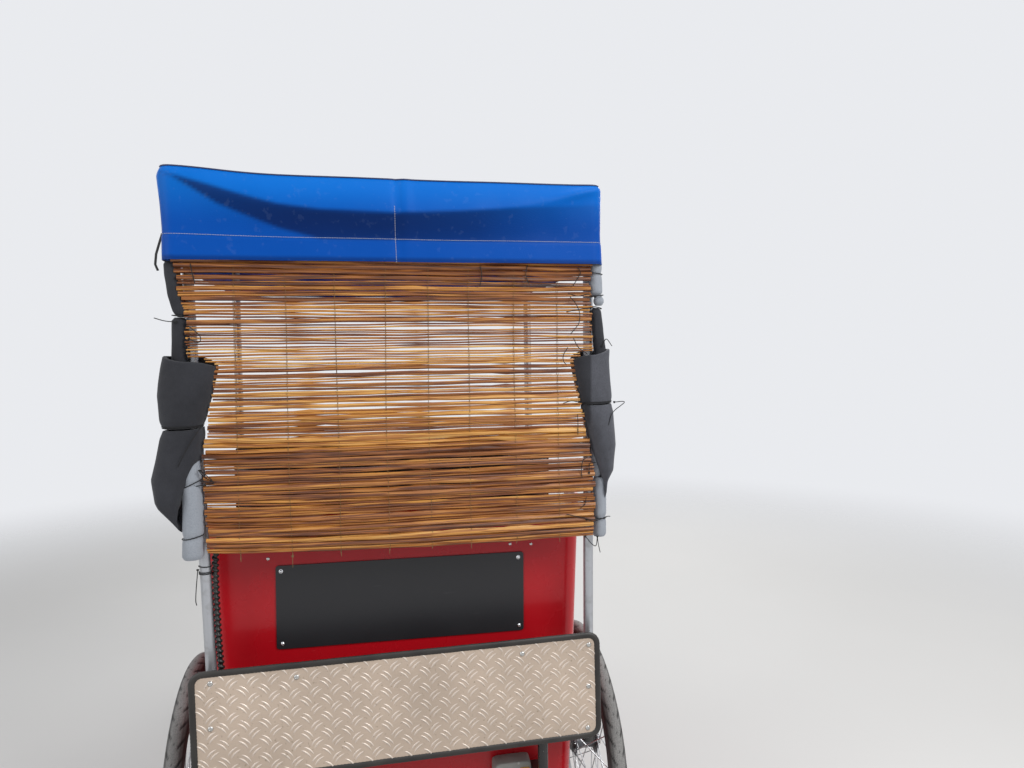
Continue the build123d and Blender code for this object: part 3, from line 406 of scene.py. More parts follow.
@dataclass(frozen=True)
class Reed(Finish):
    """Split reed: each stick has its own tone, with fibres, stains and patches along it."""

    def paint(self, graph: Graph) -> None:
        """Builds the reed's nodes."""
        tone = graph.stored("tone")
        stains = graph.speckle(7.0, 4.0, graph.place((1.0, 1.0, 12.0)))
        lengths = graph.speckle(3.0, 1.0, graph.place((1.0, 2.4, 130.0))).over(0.5, 0.04)
        fibres = graph.speckle(420.0, 5.0, graph.place((1.0, 0.03, 1.0)))
        _, _, z = graph.axes()
        # darker above about 1.60 m and a little lighter between 1.30 and 1.58 m
        height_tone = z.over(1.60, 0.04) * 0.15 - (z.over(1.30, 0.05) - z.over(1.58, 0.04)) * 0.07
        value = tone * 0.4 + lengths * 0.26 + stains * 0.5 + fibres * 0.2 - 0.19 - height_tone
        stops = (
            (0.02, tint("2A130A")),
            (0.3, tint("6A3A1E")),
            (0.52, tint("9C602C")),
            (0.74, tint("CB9044")),
            (1.0, tint("E8C27A")),
        )
        graph.surface(
            Base_Color=graph.ramp(value, stops),
            Roughness=0.34 + fibres * 0.2,
            Specular_IOR_Level=0.55,
            Normal=graph.bump(fibres, 0.0006),
        )


@dataclass(frozen=True)
class Foam(Finish):
    """Closed-cell foam: fine cells, a dusty film and scuffed patches, and optionally one side
    lightened, partly as dust and partly as a painted highlight.
    """

    dust: Colour = (0.3, 0.31, 0.34)
    film: float = 0.35
    # lit_side: Y beyond which the side is lightened, partly dust and partly a painted highlight
    lit_side: float | None = None

    def paint(self, graph: Graph) -> None:
        """Builds the foam's nodes."""
        cells = graph.cells(620.0)
        patches = graph.speckle(9.0, 6.0)
        grime = graph.speckle(70.0, 5.0)
        film = patches.over(0.5, 0.3) * self.film
        if self.lit_side is not None:
            # dust and painted highlight: the side beyond lit_side is lightened towards the dust colour
            _, y, _ = graph.axes()
            film = film + (1.0 - y.over(self.lit_side, 0.004)) * (0.25 + grime * 0.3)
        tone = graph.mix(self.colour, self.dust, film)
        tone = graph.mix(tone, self.shade(0.55), cells.over(0.55, 0.3) * 0.35)
        soft = graph.bump(patches, 0.004)
        graph.surface(
            Base_Color=tone,
            Roughness=0.8 + grime * 0.16,
            Sheen_Weight=0.1,
            Sheen_Roughness=0.5,
            Normal=graph.bump(cells + grime, 0.0004, soft),
        )


@dataclass(frozen=True)
class Metal(Finish):
    """Bare or plated metal with brushing, dull patches and grime."""

    rough: float = 0.3
    metallic: float = 1.0
    grain: Point = (1.0, 1.0, 1.0)
    grime: Colour = (0.12, 0.1, 0.08)
    dirt: float = 0.25

    def paint(self, graph: Graph) -> None:
        """Builds the metal's nodes."""
        patches = graph.speckle(14.0, 6.0)
        brushing = graph.speckle(500.0, 3.0, graph.place(self.grain))
        dirt = graph.speckle(48.0, 8.0).over(0.6, 0.12) * self.dirt
        graph.surface(
            Base_Color=graph.mix(self.colour, self.grime, dirt),
            Metallic=self.metallic - dirt * 0.8,
            Roughness=self.rough + (patches - 0.5) * 0.2 + dirt * 0.5,
            Normal=graph.bump(brushing, 0.00012),
        )


@dataclass(frozen=True)
class Paint(Finish):
    """Gloss paint with road dust and a few chips down to primer."""

    chip: Colour = (0.25, 0.24, 0.23)
    rough: float = 0.25
    dust: float = 0.3

    def paint(self, graph: Graph) -> None:
        """Builds the paint's nodes."""
        chips = graph.speckle(120.0, 9.0).over(0.72, 0.02)
        film = graph.speckle(8.0, 6.0).over(0.5, 0.25) * self.dust
        tone = graph.mix(self.colour, tint("7A7268"), film)
        graph.surface(
            Base_Color=graph.mix(tone, self.chip, chips),
            Roughness=self.rough + film * 0.6 + chips * 0.3,
            Coat_Weight=0.3 - chips * 0.3,
            Normal=graph.bump(1.0 - chips, 0.0002, graph.bump(graph.speckle(300.0), 0.00008)),
        )


@dataclass(frozen=True)
class Rubber(Finish):
    """Matt rubber or moulded plastic with dust in its pores."""

    rough: float = 0.6
    dust: float = 0.25

    def paint(self, graph: Graph) -> None:
        """Builds the rubber's nodes."""
        film = graph.speckle(11.0, 6.0).over(0.5, 0.25) * self.dust
        pores = graph.speckle(700.0, 3.0)
        graph.surface(
            Base_Color=graph.mix(self.colour, tint("8C857B"), film),
            Roughness=self.rough + film * 0.3,
            Normal=graph.bump(pores, 0.00015),
        )


@dataclass(frozen=True)
class WheelFinish(Finish):
    """A finish that changes with the distance from its wheel's axle."""

    axle_x: float = AXLE_X

    def reach(self, graph: Graph) -> Socket:
        """Gives the distance from the axle."""
        x, _, z = graph.axes()
        return ((x - self.axle_x) ** 2.0 + (z - AXLE_Z) ** 2.0) ** 0.5


@dataclass(frozen=True)
class TyreRubber(WheelFinish):
    """Tyre rubber, dusty on the tread and dark on the walls, with painted shade in the tread's cuts."""

    def paint(self, graph: Graph) -> None:
        """Builds the tyre's nodes."""
        tread = self.reach(graph).over(0.325, 0.008)
        grit = graph.speckle(420.0, 6.0)
        patches = graph.speckle(12.0, 6.0)
        # painted shade: the tread's cuts are darkened by their depth
        groove = graph.stored("groove")
        dusty = graph.mix(tint("6E6D6C"), tint("9A9895"), grit.over(0.5, 0.3))
        wall = graph.mix(self.colour, tint("555453"), patches.over(0.5, 0.3) * 0.35)
        dusty = graph.mix(wall, dusty, tread * (0.85 + patches * 0.15))
        graph.surface(
            Base_Color=graph.mix(dusty, tint("242322"), groove),
            Roughness=0.72 + grit * 0.2,
            Normal=graph.bump(grit, 0.0004),
        )


@dataclass(frozen=True)
class WheelMetal(WheelFinish):
    """One finish for a spoked wheel: alloy rim, steel spokes and a dark hub."""

    def paint(self, graph: Graph) -> None:
        """Builds the wheel's nodes."""
        reach = self.reach(graph)
        rim = reach.over(0.258, 0.001)
        hub = 1.0 - reach.over(0.0385, 0.001)
        dirt = graph.speckle(60.0, 8.0).over(0.56, 0.16)
        tone = graph.mix(tint("BFC0C2"), self.colour, rim)
        tone = graph.mix(tone, tint("6B6C70"), hub)
        graph.surface(
            Base_Color=graph.mix(tone, tint("4A3E33"), dirt * (0.25 + hub * 0.3)),
            Metallic=1.0 - dirt * 0.3,
            Roughness=0.28 + rim * 0.14 + hub * 0.15 + dirt * 0.3,
            Normal=graph.bump(graph.speckle(400.0, 3.0), 0.0001),
        )


@dataclass(frozen=True)
class TreadAlloy(Finish):
    """Mill-finish aluminium with a warm cast, fine rolling marks and stains."""

    def paint(self, graph: Graph) -> None:
        """Builds the plate's nodes."""
        rolling = graph.speckle(300.0, 4.0, graph.place((1.0, 0.06, 1.0)))
        stains = graph.speckle(6.0, 6.0)
        spots = graph.speckle(140.0, 7.0).over(0.66, 0.05)
        tone = graph.mix(self.colour, self.shade(0.8), stains.over(0.5, 0.25))
        graph.surface(
            Base_Color=graph.mix(tone, tint("8A7A66"), spots * 0.5),
            Metallic=0.3,
            Roughness=0.36 + stains * 0.14 + spots * 0.2,
            Normal=graph.bump(rolling, 0.00012),
        )


@dataclass(frozen=True)
class Vinyl(Finish):
    """Upholstery vinyl with a leather grain and a soft shine on worn places."""

    def paint(self, graph: Graph) -> None:
        """Builds the vinyl's nodes."""
        grain = graph.cells(520.0)
        creases = graph.speckle(36.0, 5.0)
        worn = graph.speckle(4.0, 4.0).over(0.52, 0.2)
        tone = graph.mix(self.colour, self.shade(2.2), worn * 0.5)
        under = graph.bump(creases, 0.0015)
        graph.surface(
            Base_Color=tone,
            Roughness=0.5 - worn * 0.12 + creases * 0.08,
            Normal=graph.bump(grain, 0.0005, under),
        )


@dataclass(frozen=True)
class Board(Finish):
    """Stained plywood with its grain along Y."""

    def paint(self, graph: Graph) -> None:
        """Builds the board's nodes."""
        grain = graph.speckle(90.0, 7.0, graph.place((1.0, 0.05, 1.0)))
        blotches = graph.speckle(5.0, 4.0)
        tone = graph.mix(self.colour, self.shade(0.4), grain.over(0.5, 0.18))
        graph.surface(
            Base_Color=graph.mix(tone, tint("3A2A1E"), blotches * 0.4),
            Roughness=0.5 + grain * 0.2,
            Normal=graph.bump(grain, 0.0004),
        )


@dataclass(frozen=True)
class SignFace(Finish):
    """Satin sign sheet with rub marks."""

    def paint(self, graph: Graph) -> None:
        """Builds the sheet's nodes."""
        rubs = graph.speckle(30.0, 9.0, graph.place((1.0, 0.4, 3.0))).over(0.7, 0.03)
        haze = graph.speckle(5.0, 4.0)
        graph.surface(
            Base_Color=graph.mix(self.colour, tint("4A4A4E"), haze * 0.15 + rubs * 0.2),
            Roughness=0.34 + haze * 0.18 + rubs * 0.2,
            Normal=graph.bump(graph.speckle(180.0), 0.0001),
        )


@dataclass(frozen=True)
class Lens(Finish):
    """Moulded lamp lens with a prism pattern under a clear gloss."""

    pitch: float = 0.004

    def paint(self, graph: Graph) -> None:
        """Builds the lens's nodes."""
        _, y, z = graph.axes()
        turn = 2 * math.pi / self.pitch
        prisms = (y * turn).sine() * (z * turn).sine() * 0.5 + 0.5
        dirt = graph.speckle(40.0, 7.0).over(0.6, 0.1)
        deep = self.shade(0.45)
        tone = graph.mix(deep, self.colour, prisms.over(0.45, 0.35))
        graph.surface(
            Base_Color=graph.mix(tone, tint("6A5A4C"), dirt * 0.2),
            Roughness=0.12 + dirt * 0.3,
            Coat_Weight=1.0,
            Coat_Roughness=0.05,
            Normal=graph.bump(prisms, 0.0006),
        )


@dataclass(frozen=True)
class Yarn(Finish):
    """Twisted thread, cord or string."""

    def paint(self, graph: Graph) -> None:
        """Builds the yarn's nodes."""
        twist = graph.speckle(600.0, 3.0)
        graph.surface(
            Base_Color=graph.mix(self.colour, self.shade(0.5), twist),
            Roughness=0.75,
            Normal=graph.bump(twist, 0.0003),
        )


CLOTH = CoatedCloth(
    "canopy_cloth_blue", "canopy_blue", tint("004EAC"), faded=tint("0072D2"), deep=tint("001D54")
)
SKIN = GelCoat("gel_coat_red", "tub_red", tint("B4101C"))
REED = Reed("split_reed", "reed", tint("C8924A"))
FOAM_DARK = Foam("foam_charcoal", "foam_dark", tint("1D1E24"), tint("54565E"), 0.25)
# the right wraps' outer side is lightened, partly dust and partly a painted highlight
FOAM_DUST_AND_LIT_SIDE = Foam("foam_charcoal_worn", "foam_dark", tint("1D1E24"), tint("6E7079"), 0.22, -0.4505)
FOAM_LIGHT = Foam("foam_pale_grey", "foam_light", tint("959BA4"), tint("B4B8BE"), 0.35)
ZINC = Metal("dull_zinc", "post_steel", tint("B4B6BA"), 0.42, 0.85, (1.0, 1.0, 0.03))
CHROME = Metal("worn_chrome", "bright_steel", tint("D2D3D6"), 0.16, dirt=0.15)
ALLOY = Metal("satin_alloy", "alloy", tint("C6C5C1"), 0.34, grain=(1.0, 0.05, 1.0))
STEEL = Metal("screw_steel", "bright_steel", tint("C0BFBC"), 0.26, dirt=0.3)
CAST = Metal("grey_casting", "cast", tint("4A4C50"), 0.62, 0.4, dirt=0.5)
OILED = Metal("oiled_steel", "chain_steel", tint("6E685E"), 0.36, 0.9, dirt=0.6)
LAMP_SHELL = Metal("headlamp_shell", "headlamp_alloy", tint("C9C9C9"), 0.2)
PLATE = TreadAlloy("tread_sheet", "tread_alloy", tint("CDBAA8"))
BARS = TreadAlloy("tread_bars", "tread_alloy", tint("DDCFC2"))
BLACK = Paint("frame_gloss_black", "frame_black", tint("111113"), dust=0.14)
VINYL = Vinyl("bench_vinyl", "vinyl", tint("232326"))
WELT = Vinyl("vinyl_piping", "vinyl", tint("141416"))
PLY = Board("bench_ply", "board", tint("6B4A30"))
RUBBER = Rubber("black_rubber", "rubber_black", tint("1E1E1F"))
WRAP = Rubber("spiral_wrap_black", "rubber_black", tint("0B0B0C"), 0.3, 0.06)
EDGING = Rubber("edge_strip", "rubber_black", tint("151312"), 0.45, 0.1)
PIPING = Rubber("piping_navy", "canopy_blue", tint("0A2352"), 0.5, 0.08)
PLASTIC_GREY = Rubber("lamp_housing_grey", "lamp_red", tint("8A8A86"), 0.5, 0.2)
SIGN = SignFace("sign_sheet_black", "sign_black", tint("19191C"))
LENS_RED = Lens("lens_red", "lamp_red", tint("B4161A"))
LENS_AMBER = Lens("lens_amber", "lamp_red", tint("F2A900"))
LENS_CLEAR = Lens("lens_clear", "headlamp_alloy", tint("D8DEE2"), 0.006)
CORD_BLACK = Yarn("cord_black", "rubber_black", tint("101012"))
THREAD_PALE = Yarn("thread_pale", "canopy_blue", tint("C9CEDA"))
THREAD_TAN = Yarn("thread_tan", "reed", tint("8A6C46"))
TYRE_REAR = TyreRubber("tyre_rubber_rear", "tyre_grey", tint("2C2B2A"))
TYRE_FRONT = TyreRubber("tyre_rubber_front", "tyre_grey", tint("2C2B2A"), FRONT_X)
WHEEL_REAR = WheelMetal("wheel_metal_rear", "alloy", tint("9A9B9D"))
WHEEL_FRONT = WheelMetal("wheel_metal_front", "alloy", tint("9A9B9D"), FRONT_X)


# Meshes


def put(name: str, data: bpy.types.ID) -> bpy.types.Object:
    """Makes an object and links it to the scene."""
    thing = bpy.data.objects.new(name, data)
    bpy.context.scene.collection.objects.link(thing)
    return thing


def trace(name: str, kind: str, lines: Sequence[Sequence[Point]]) -> bpy.types.Object:
    """Makes a curve object.

    Args:
        name: Its name.
        kind: The splines' type.
        lines: Each spline's points.

    Returns:
        The object.
    """
    curve = bpy.data.curves.new(name, "CURVE")
    curve.dimensions = "3D"
    for line in lines:
        spline = curve.splines.new(kind)
        spline.points.add(len(line) - 1)
        for knot, spot in zip(spline.points, line):
            knot.co = (*spot, 1.0)
    return put(name, curve)


def modify(thing: bpy.types.Object, kind: str, **settings: Any) -> None:
    """Adds a modifier with its settings."""
    layer = thing.modifiers.new(kind.title(), kind)
    for key, value in settings.items():
        setattr(layer, key, value)


def corners(thing: bpy.types.Object) -> np.ndarray:
    """Reads the places of a mesh's corners, a row for each."""
    data = np.empty(len(thing.data.vertices) * 3)
    thing.data.vertices.foreach_get("co", data)
    return data.reshape(-1, 3)


def store(thing: bpy.types.Object, name: str, values: Sequence[float]) -> None:
    """Stores a number at each corner of a mesh."""
    thing.data.attributes.new(name, "FLOAT", "POINT").data.foreach_set("value", values)


class Former:
    """Collects the corners and faces of one piece."""

    def __init__(self) -> None:
        """Starts with nothing."""
        self.points: list[Vector] = []
        self.faces: list[tuple[int, ...]] = []

    def grid(self, rows: Sequence[Sequence[Vector]], around: bool = False, loop: bool = False) -> None:
        """Adds a sheet of quads.

        Args:
            rows: Rows of points, all equally long.
            around: Whether each row closes on itself.
            loop: Whether the last row joins the first.
        """
        base = len(self.points)
        count = len(rows[0])
        for row in rows:
            self.points.extend(Vector(p) for p in row)
        for i in range(len(rows) if loop else len(rows) - 1):
            for j in range(count if around else count - 1):
                a = base + i * count
                b = base + (i + 1) % len(rows) * count
                k = (j + 1) % count
                self.faces.append((a + j, a + k, b + k, b + j))

    def cap(self, start: int, count: int, flip: bool = False) -> None:
        """Closes a ring of points with one face."""
        ring = tuple(range(start, start + count))
        self.faces.append(ring[::-1] if flip else ring)

    def wall(self, pairs: Sequence[tuple[list[Vector], list[Vector]]]) -> None:
        """Adds a pipe's wall from pairs of an outer and an inner ring."""
        outer, inner = zip(*pairs)
        self.grid([*outer, *inner[::-1]], around=True, loop=True)

    def tube(
        self,
        path: Sequence[Vector],
        radius: float,
        sides: int = 8,
        closed: bool = False,
        flat: float = 1.0,
    ) -> None:
        """Adds a round or oval bar along a path.

        Args:
            path: Points of the centre line.
            radius: The bar's radius.
            sides: Faces round the bar.
            closed: Whether the path joins its start.
            flat: Second half width as a share of the radius.
        """
        path = [Vector(p) for p in path]
        count = len(path)
        rows = []
        normal = None
        for i, spot in enumerate(path):
            after = path[(i + 1) % count] if closed or i < count - 1 else spot
            before = path[i - 1] if closed or i else spot
            run = (after - before).normalized()
            if normal is None:
                normal = run.orthogonal().normalized()
                if abs(run.z) < 0.95:
                    normal = (Vector((0, 0, 1)) - run * run.z).normalized()
            normal = (normal - run * normal.dot(run)).normalized()
            rows.append(hoop(spot, normal, run.cross(normal) * flat, radius, sides))
        base = len(self.points)
        self.grid(rows, around=True, loop=closed)
        if not closed:
            self.cap(base, sides, flip=True)
            self.cap(base + (count - 1) * sides, sides)

    def lathe(
        self,
        profile: Sequence[tuple[float, float]],
        origin: Point,
        axis: Point = (0, 0, 1),
        sides: int = 24,
        loop: bool = False,
    ) -> None:
        """Adds a turned shape.

        Args:
            profile: Pairs of distance along the axis and radius.
            origin: Where the axis starts.
            axis: The axis's direction.
            sides: Faces round the axis.
            loop: Whether the profile is a closed line.
        """
        run = Vector(axis).normalized()
        first = run.orthogonal().normalized()
        second = run.cross(first)
        rows = [
            hoop(Vector(origin) + run * along, first, second, radius, sides)
            for along, radius in profile
        ]
        self.grid(rows, around=True, loop=loop)

    def slab(self, centre: Point, size: Point, taper: float = 1.0) -> None:
        """Adds a block.

        Args:
            centre: Its middle.
            size: Its X, Y and Z sizes.
            taper: The upper face's share of the lower one.
        """
        base = len(self.points)
        for z in (-0.5, 0.5):
            grow = taper if z > 0 else 1.0
            for x, y in ((-0.5, -0.5), (0.5, -0.5), (0.5, 0.5), (-0.5, 0.5)):
                corner = Vector((x * size[0] * grow, y * size[1] * grow, z * size[2]))
                self.points.append(Vector(centre) + corner)
        for face in ("3210", "4567", "0154", "1265", "2376", "3047"):
            self.faces.append(tuple(base + int(i) for i in face))

    def knot(self, spot: Vector, radius: float) -> None:
        """Adds a small overhand knot that faces backwards.

        Args:
            spot: Its middle.
            radius: Its half width.
        """
        sin, cos = math.sin, math.cos
        turns = [2 * math.pi * k / 24 for k in range(24)]
        loops = [Vector((-sin(3 * t), sin(t) + 2 * sin(2 * t), cos(t) - 2 * cos(2 * t))) for t in turns]
        self.tube([spot + loop * (radius / 3) for loop in loops], radius * 0.42, 6, closed=True)

    def loose(self, name: str) -> bpy.types.Object:
        """Makes an undressed object, welded and with its faces outwards."""
        mesh = bpy.data.meshes.new(name)
        mesh.from_pydata([tuple(p) for p in self.points], [], self.faces)
        shape = bmesh.new()
        shape.from_mesh(mesh)
        bmesh.ops.remove_doubles(shape, verts=shape.verts, dist=1e-6)
        bmesh.ops.recalc_face_normals(shape, faces=shape.faces)
        shape.to_mesh(mesh)
        shape.free()
        return put(name, mesh)


def smooth_path(knots: Sequence[Vector], steps: int) -> list[Vector]:
    """Runs a smooth line through points.

    Args:
        knots: The points, at least two.
        steps: How many parts each stretch has.

    Returns:
        The line's points.
    """
    ends = [knots[0] * 2 - knots[1], *knots, knots[-1] * 2 - knots[-2]]
    line = []
    for before, start, end, after in zip(ends, ends[1:], ends[2:], ends[3:]):
        for k in range(steps):
            t = k / steps
            bend = (before * 2 - start * 5 + end * 4 - after) * t
            bend += (start * 3 - end * 3 + after - before) * t * t
            line.append(start + ((end - before) + bend) * (t / 2))
    return line + [knots[-1].copy()]


def settle(thing: bpy.types.Object) -> bpy.types.Object:
    """Turns live modifiers into a plain mesh.

    Args:
        thing: An object with modifiers.

    Returns:
        The same object with its result as its mesh.
    """
    view = bpy.context.evaluated_depsgraph_get()
    mesh = bpy.data.meshes.new_from_object(thing.evaluated_get(view), depsgraph=view)
    thing.modifiers.clear()
    if thing.type == "MESH":
        thing.data = mesh
        return thing
    plain = put(thing.name + "_made", mesh)
    bpy.data.objects.remove(thing)
    return plain


def dress(
    thing: bpy.types.Object,
    finish: Finish,
    body: Body = Body.FRAME,
    stands_for: Sequence[str] = (),
    smooth: float = 40.0,
    bevel: float = 0.0,
) -> bpy.types.Object:
    """Finishes a piece and hangs it on its body.

    Args:
        thing: The piece.
        finish: Its finish.
        body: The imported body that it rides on.
        stands_for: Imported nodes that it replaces.
        smooth: Angle in degrees below which edges are smooth.
        bevel: Width of the rounding on its edges.

    Returns:
        The piece.
    """
    if bevel:
        limit = {"limit_method": "ANGLE", "angle_limit": math.radians(35)}
        modify(thing, "BEVEL", width=bevel, segments=2, **limit)
        settle(thing)
    if not thing.data.materials:
        thing.data.materials.append(finish.material())
    thing.data.shade_smooth()
    thing.data.set_sharp_from_angle(angle=math.radians(smooth))
    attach(thing, body.value)
    if stands_for:
        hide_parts(*stands_for)
    LOG.info("%s: %d faces on %s", thing.name, len(thing.data.polygons), body.value)
    return thing


class Recipe:
    """A geometry node tree with named inputs."""

    def __init__(self, name: str) -> None:
        """Starts a tree with its geometry in and out."""
        self.tree = bpy.data.node_groups.new(name, "GeometryNodeTree")
        for way in ("INPUT", "OUTPUT"):
            self.tree.interface.new_socket("Geometry", in_out=way, socket_type="NodeSocketGeometry")
        self.source = self.tree.nodes.new("NodeGroupInput")
        self.sink = self.tree.nodes.new("NodeGroupOutput")

    def size(self, name: str, kind: str, value: Any = None) -> Any:
        """Adds a named input.

        Args:
            name: The input's name.
            kind: Its type, such as Float or Object.
            value: Its value to start with.

        Returns:
            Its socket inside the tree.
        """
        socket = self.tree.interface.new_socket(name, in_out="INPUT", socket_type="NodeSocket" + kind)
        if value is not None:
            socket.default_value = value
        return self.source.outputs[name]

    def add(
        self, kind: str, settings: dict[str, Any] | None = None, inputs: dict[Any, Any] | None = None
    ) -> bpy.types.Node:
        """Adds any node.

        Args:
            kind: The node's type.
            settings: Its properties.
            inputs: Values or sockets by input name or number.

        Returns:
            The node.
        """
        node = self.tree.nodes.new(kind)
        for key, value in (settings or {}).items():
            setattr(node, key, value)
        for key, value in (inputs or {}).items():
            if isinstance(value, bpy.types.NodeSocket):
                self.tree.links.new(value, node.inputs[key])
            else:
                node.inputs[key].default_value = value
        return node

    def copies(self, points: Any, shape: Any, **rest: Any) -> bpy.types.NodeSocket:
        """Sets an object's shape at points."""
        stamp = self.add("GeometryNodeObjectInfo", None, {"Object": shape})
        inputs = {"Points": points, "Instance": stamp.outputs["Geometry"], **rest}
        return self.add("GeometryNodeInstanceOnPoints", None, inputs).outputs[0]

    def end(self, shape: bpy.types.NodeSocket, finish: bpy.types.NodeSocket) -> None:
        """Ends the tree in plain geometry with its material."""
        plain = self.add("GeometryNodeRealizeInstances", None, {0: shape}).outputs[0]
        coated = self.add("GeometryNodeSetMaterial", None, {"Geometry": plain, "Material": finish})
        self.tree.links.new(coated.outputs[0], self.sink.inputs[0])

    def run(self, thing: bpy.types.Object, values: dict[str, Any]) -> bpy.types.Object:
        """Runs the tree on an object.

        Args:
            thing: The object that it starts from.
            values: Values of the named inputs.

        Returns:
            The object with the result as its mesh.
        """
        layer = thing.modifiers.new(self.tree.name, "NODES")
        layer.node_group = self.tree
        for item in self.tree.interface.items_tree:
            if item.item_type == "SOCKET" and item.in_out == "INPUT" and item.name in values:
                layer[item.identifier] = values[item.name]
        thing.update_tag()
        bpy.context.view_layer.update()
        return settle(thing)


class Place(NamedTuple):
    """Where one copy goes, its Euler angles and its three scales."""

    spot: Vector
    turn: Point = (0.0, 0.0, 0.0)
    size: Point = (1.0, 1.0, 1.0)


class Repeater:
    """Sets one small shape at many places: screws, sticks, bars and links."""

    def __init__(self) -> None:
        """Builds the tree once."""
        recipe = Recipe("repeat_at_points")
        shape = recipe.size("Shape", "Object")
        seed = recipe.size("Seed", "Int", 7)
        finish = recipe.size("Finish", "Material")
        turn, size = (
            recipe.add("GeometryNodeInputNamedAttribute", {"data_type": "FLOAT_VECTOR"}, {"Name": name})
            for name in Place._fields[1:]
        )
        turned = recipe.add("FunctionNodeEulerToRotation", None, {0: turn.outputs["Attribute"]})
        points = recipe.add("GeometryNodeMeshToPoints", None, {0: recipe.source.outputs["Geometry"]})
        ways = {"Rotation": turned.outputs[0], "Scale": size.outputs["Attribute"]}
        copies = recipe.copies(points.outputs[0], shape, **ways)
        chance = recipe.add("FunctionNodeRandomValue", {"data_type": "FLOAT"}, {"Seed": seed})
        marked = recipe.add(
            "GeometryNodeStoreNamedAttribute",
            {"data_type": "FLOAT", "domain": "INSTANCE"},
            {"Geometry": copies, "Name": "tone", "Value": chance.outputs[1]},
        )
        recipe.end(marked.outputs[0], finish)
        self.recipe = recipe

    def run(
        self,
        name: str,
        stamp: Former,
        places: Sequence[Place],
        finish: Finish,
        seed: int = 7,
    ) -> bpy.types.Object:
        """Makes one mesh of all the copies.

        Args:
            name: The piece's name.
            stamp: The shape that is repeated.
            places: Where the copies are.
            finish: The copies' finish.
            seed: Seed of the tone that each copy gets.

        Returns:
            The piece, not yet dressed.
        """
        mesh = bpy.data.meshes.new(name)
        mesh.from_pydata([tuple(place.spot) for place in places], [], [])
        for key in Place._fields[1:]:
            layer = mesh.attributes.new(key, "FLOAT_VECTOR", "POINT")
            layer.data.foreach_set("vector", [c for place in places for c in getattr(place, key)])
        thing = put(name, mesh)
        shape = stamp.loose(name + "_stamp")
        values = {"Shape": shape, "Seed": seed, "Finish": finish.material()}
        self.recipe.run(thing, values)
        bpy.data.objects.remove(shape)
        return thing

    def fix(
        self,
        name: str,
        stamp: Former,
        places: Sequence[Place],
        finish: Finish,
        body: Body = Body.FRAME,
        smooth: float = 40.0,
    ) -> None:
        """Makes one mesh of all the copies and dresses it."""
        dress(self.run(name, stamp, places, finish), finish, body, smooth=smooth)


class Stitcher:
    """Lays stitches at an even pitch along a line."""

    def __init__(self) -> None:
        """Builds the tree once."""
        recipe = Recipe("stitch_along_line")
        shape = recipe.size("Stitch", "Object")
        pitch = recipe.size("Pitch", "Float", 0.006)
        finish = recipe.size("Finish", "Material")
        inputs = {"Curve": recipe.source.outputs["Geometry"], "Length": pitch}
        points = recipe.add("GeometryNodeCurveToPoints", {"mode": "LENGTH"}, inputs)
        copies = recipe.copies(points.outputs["Points"], shape, Rotation=points.outputs["Rotation"])
        recipe.end(copies, finish)
        self.recipe = recipe

    def run(
        self, name: str, lines: Sequence[Sequence[Vector]], pitch: float, thick: float, finish: Finish
    ) -> bpy.types.Object:
        """Stitches along lines.

        Args:
            name: The piece's name.
            lines: Each line's points.
            pitch: Distance between stitches.
            thick: The thread's radius.
            finish: The thread's finish.

        Returns:
            The piece, not yet dressed.
        """
        thing = trace(name, "POLY", lines)
        stitch = Former()
        reach = pitch * 0.4
        stitch.lathe(
            [(-reach, thick * 0.2), (-reach * 0.7, thick), (reach * 0.7, thick), (reach, thick * 0.2)],
            (0, 0, 0),
            sides=6,
        )
        shape = stitch.loose(name + "_stamp")
        made = self.recipe.run(thing, {"Stitch": shape, "Pitch": pitch, "Finish": finish.material()})
        bpy.data.objects.remove(shape)
        made.name = name
        return made


# Stage and camera


@dataclass
class Viewpoint:
    """The camera at the photograph's place."""

    place: Point = (AXLE_X - 2.03, 0.08, 1.46)
    yaw: float = -11.4
    pitch: float = 2.2
    roll: float = 0.8
    focal: float = 735.0
    width: float = 1024.0
    sensor: float = 36.0

    def build(self) -> None:
        """Sets up the scene's camera."""
        yaw, pitch, roll = (math.radians(a) for a in (self.yaw, self.pitch, self.roll))
        flat = math.cos(pitch)
        look = Vector((math.cos(yaw) * flat, math.sin(yaw) * flat, -math.sin(pitch)))
        right = Vector((math.sin(yaw), -math.cos(yaw), 0.0))
        down = look.cross(right)
        across = right * math.cos(roll) + down * math.sin(roll)
        under = down * math.cos(roll) - right * math.sin(roll)
        lens = bpy.data.cameras.new("viewpoint")
        lens.sensor_width = self.sensor
        lens.lens = self.focal * self.sensor / self.width
        lens.clip_end = 60.0
        camera = put("viewpoint", lens)
        axes = Matrix((across, -under, -look)).transposed().to_4x4()
        camera.matrix_world = Matrix.Translation(self.place) @ axes
        bpy.context.scene.camera = camera


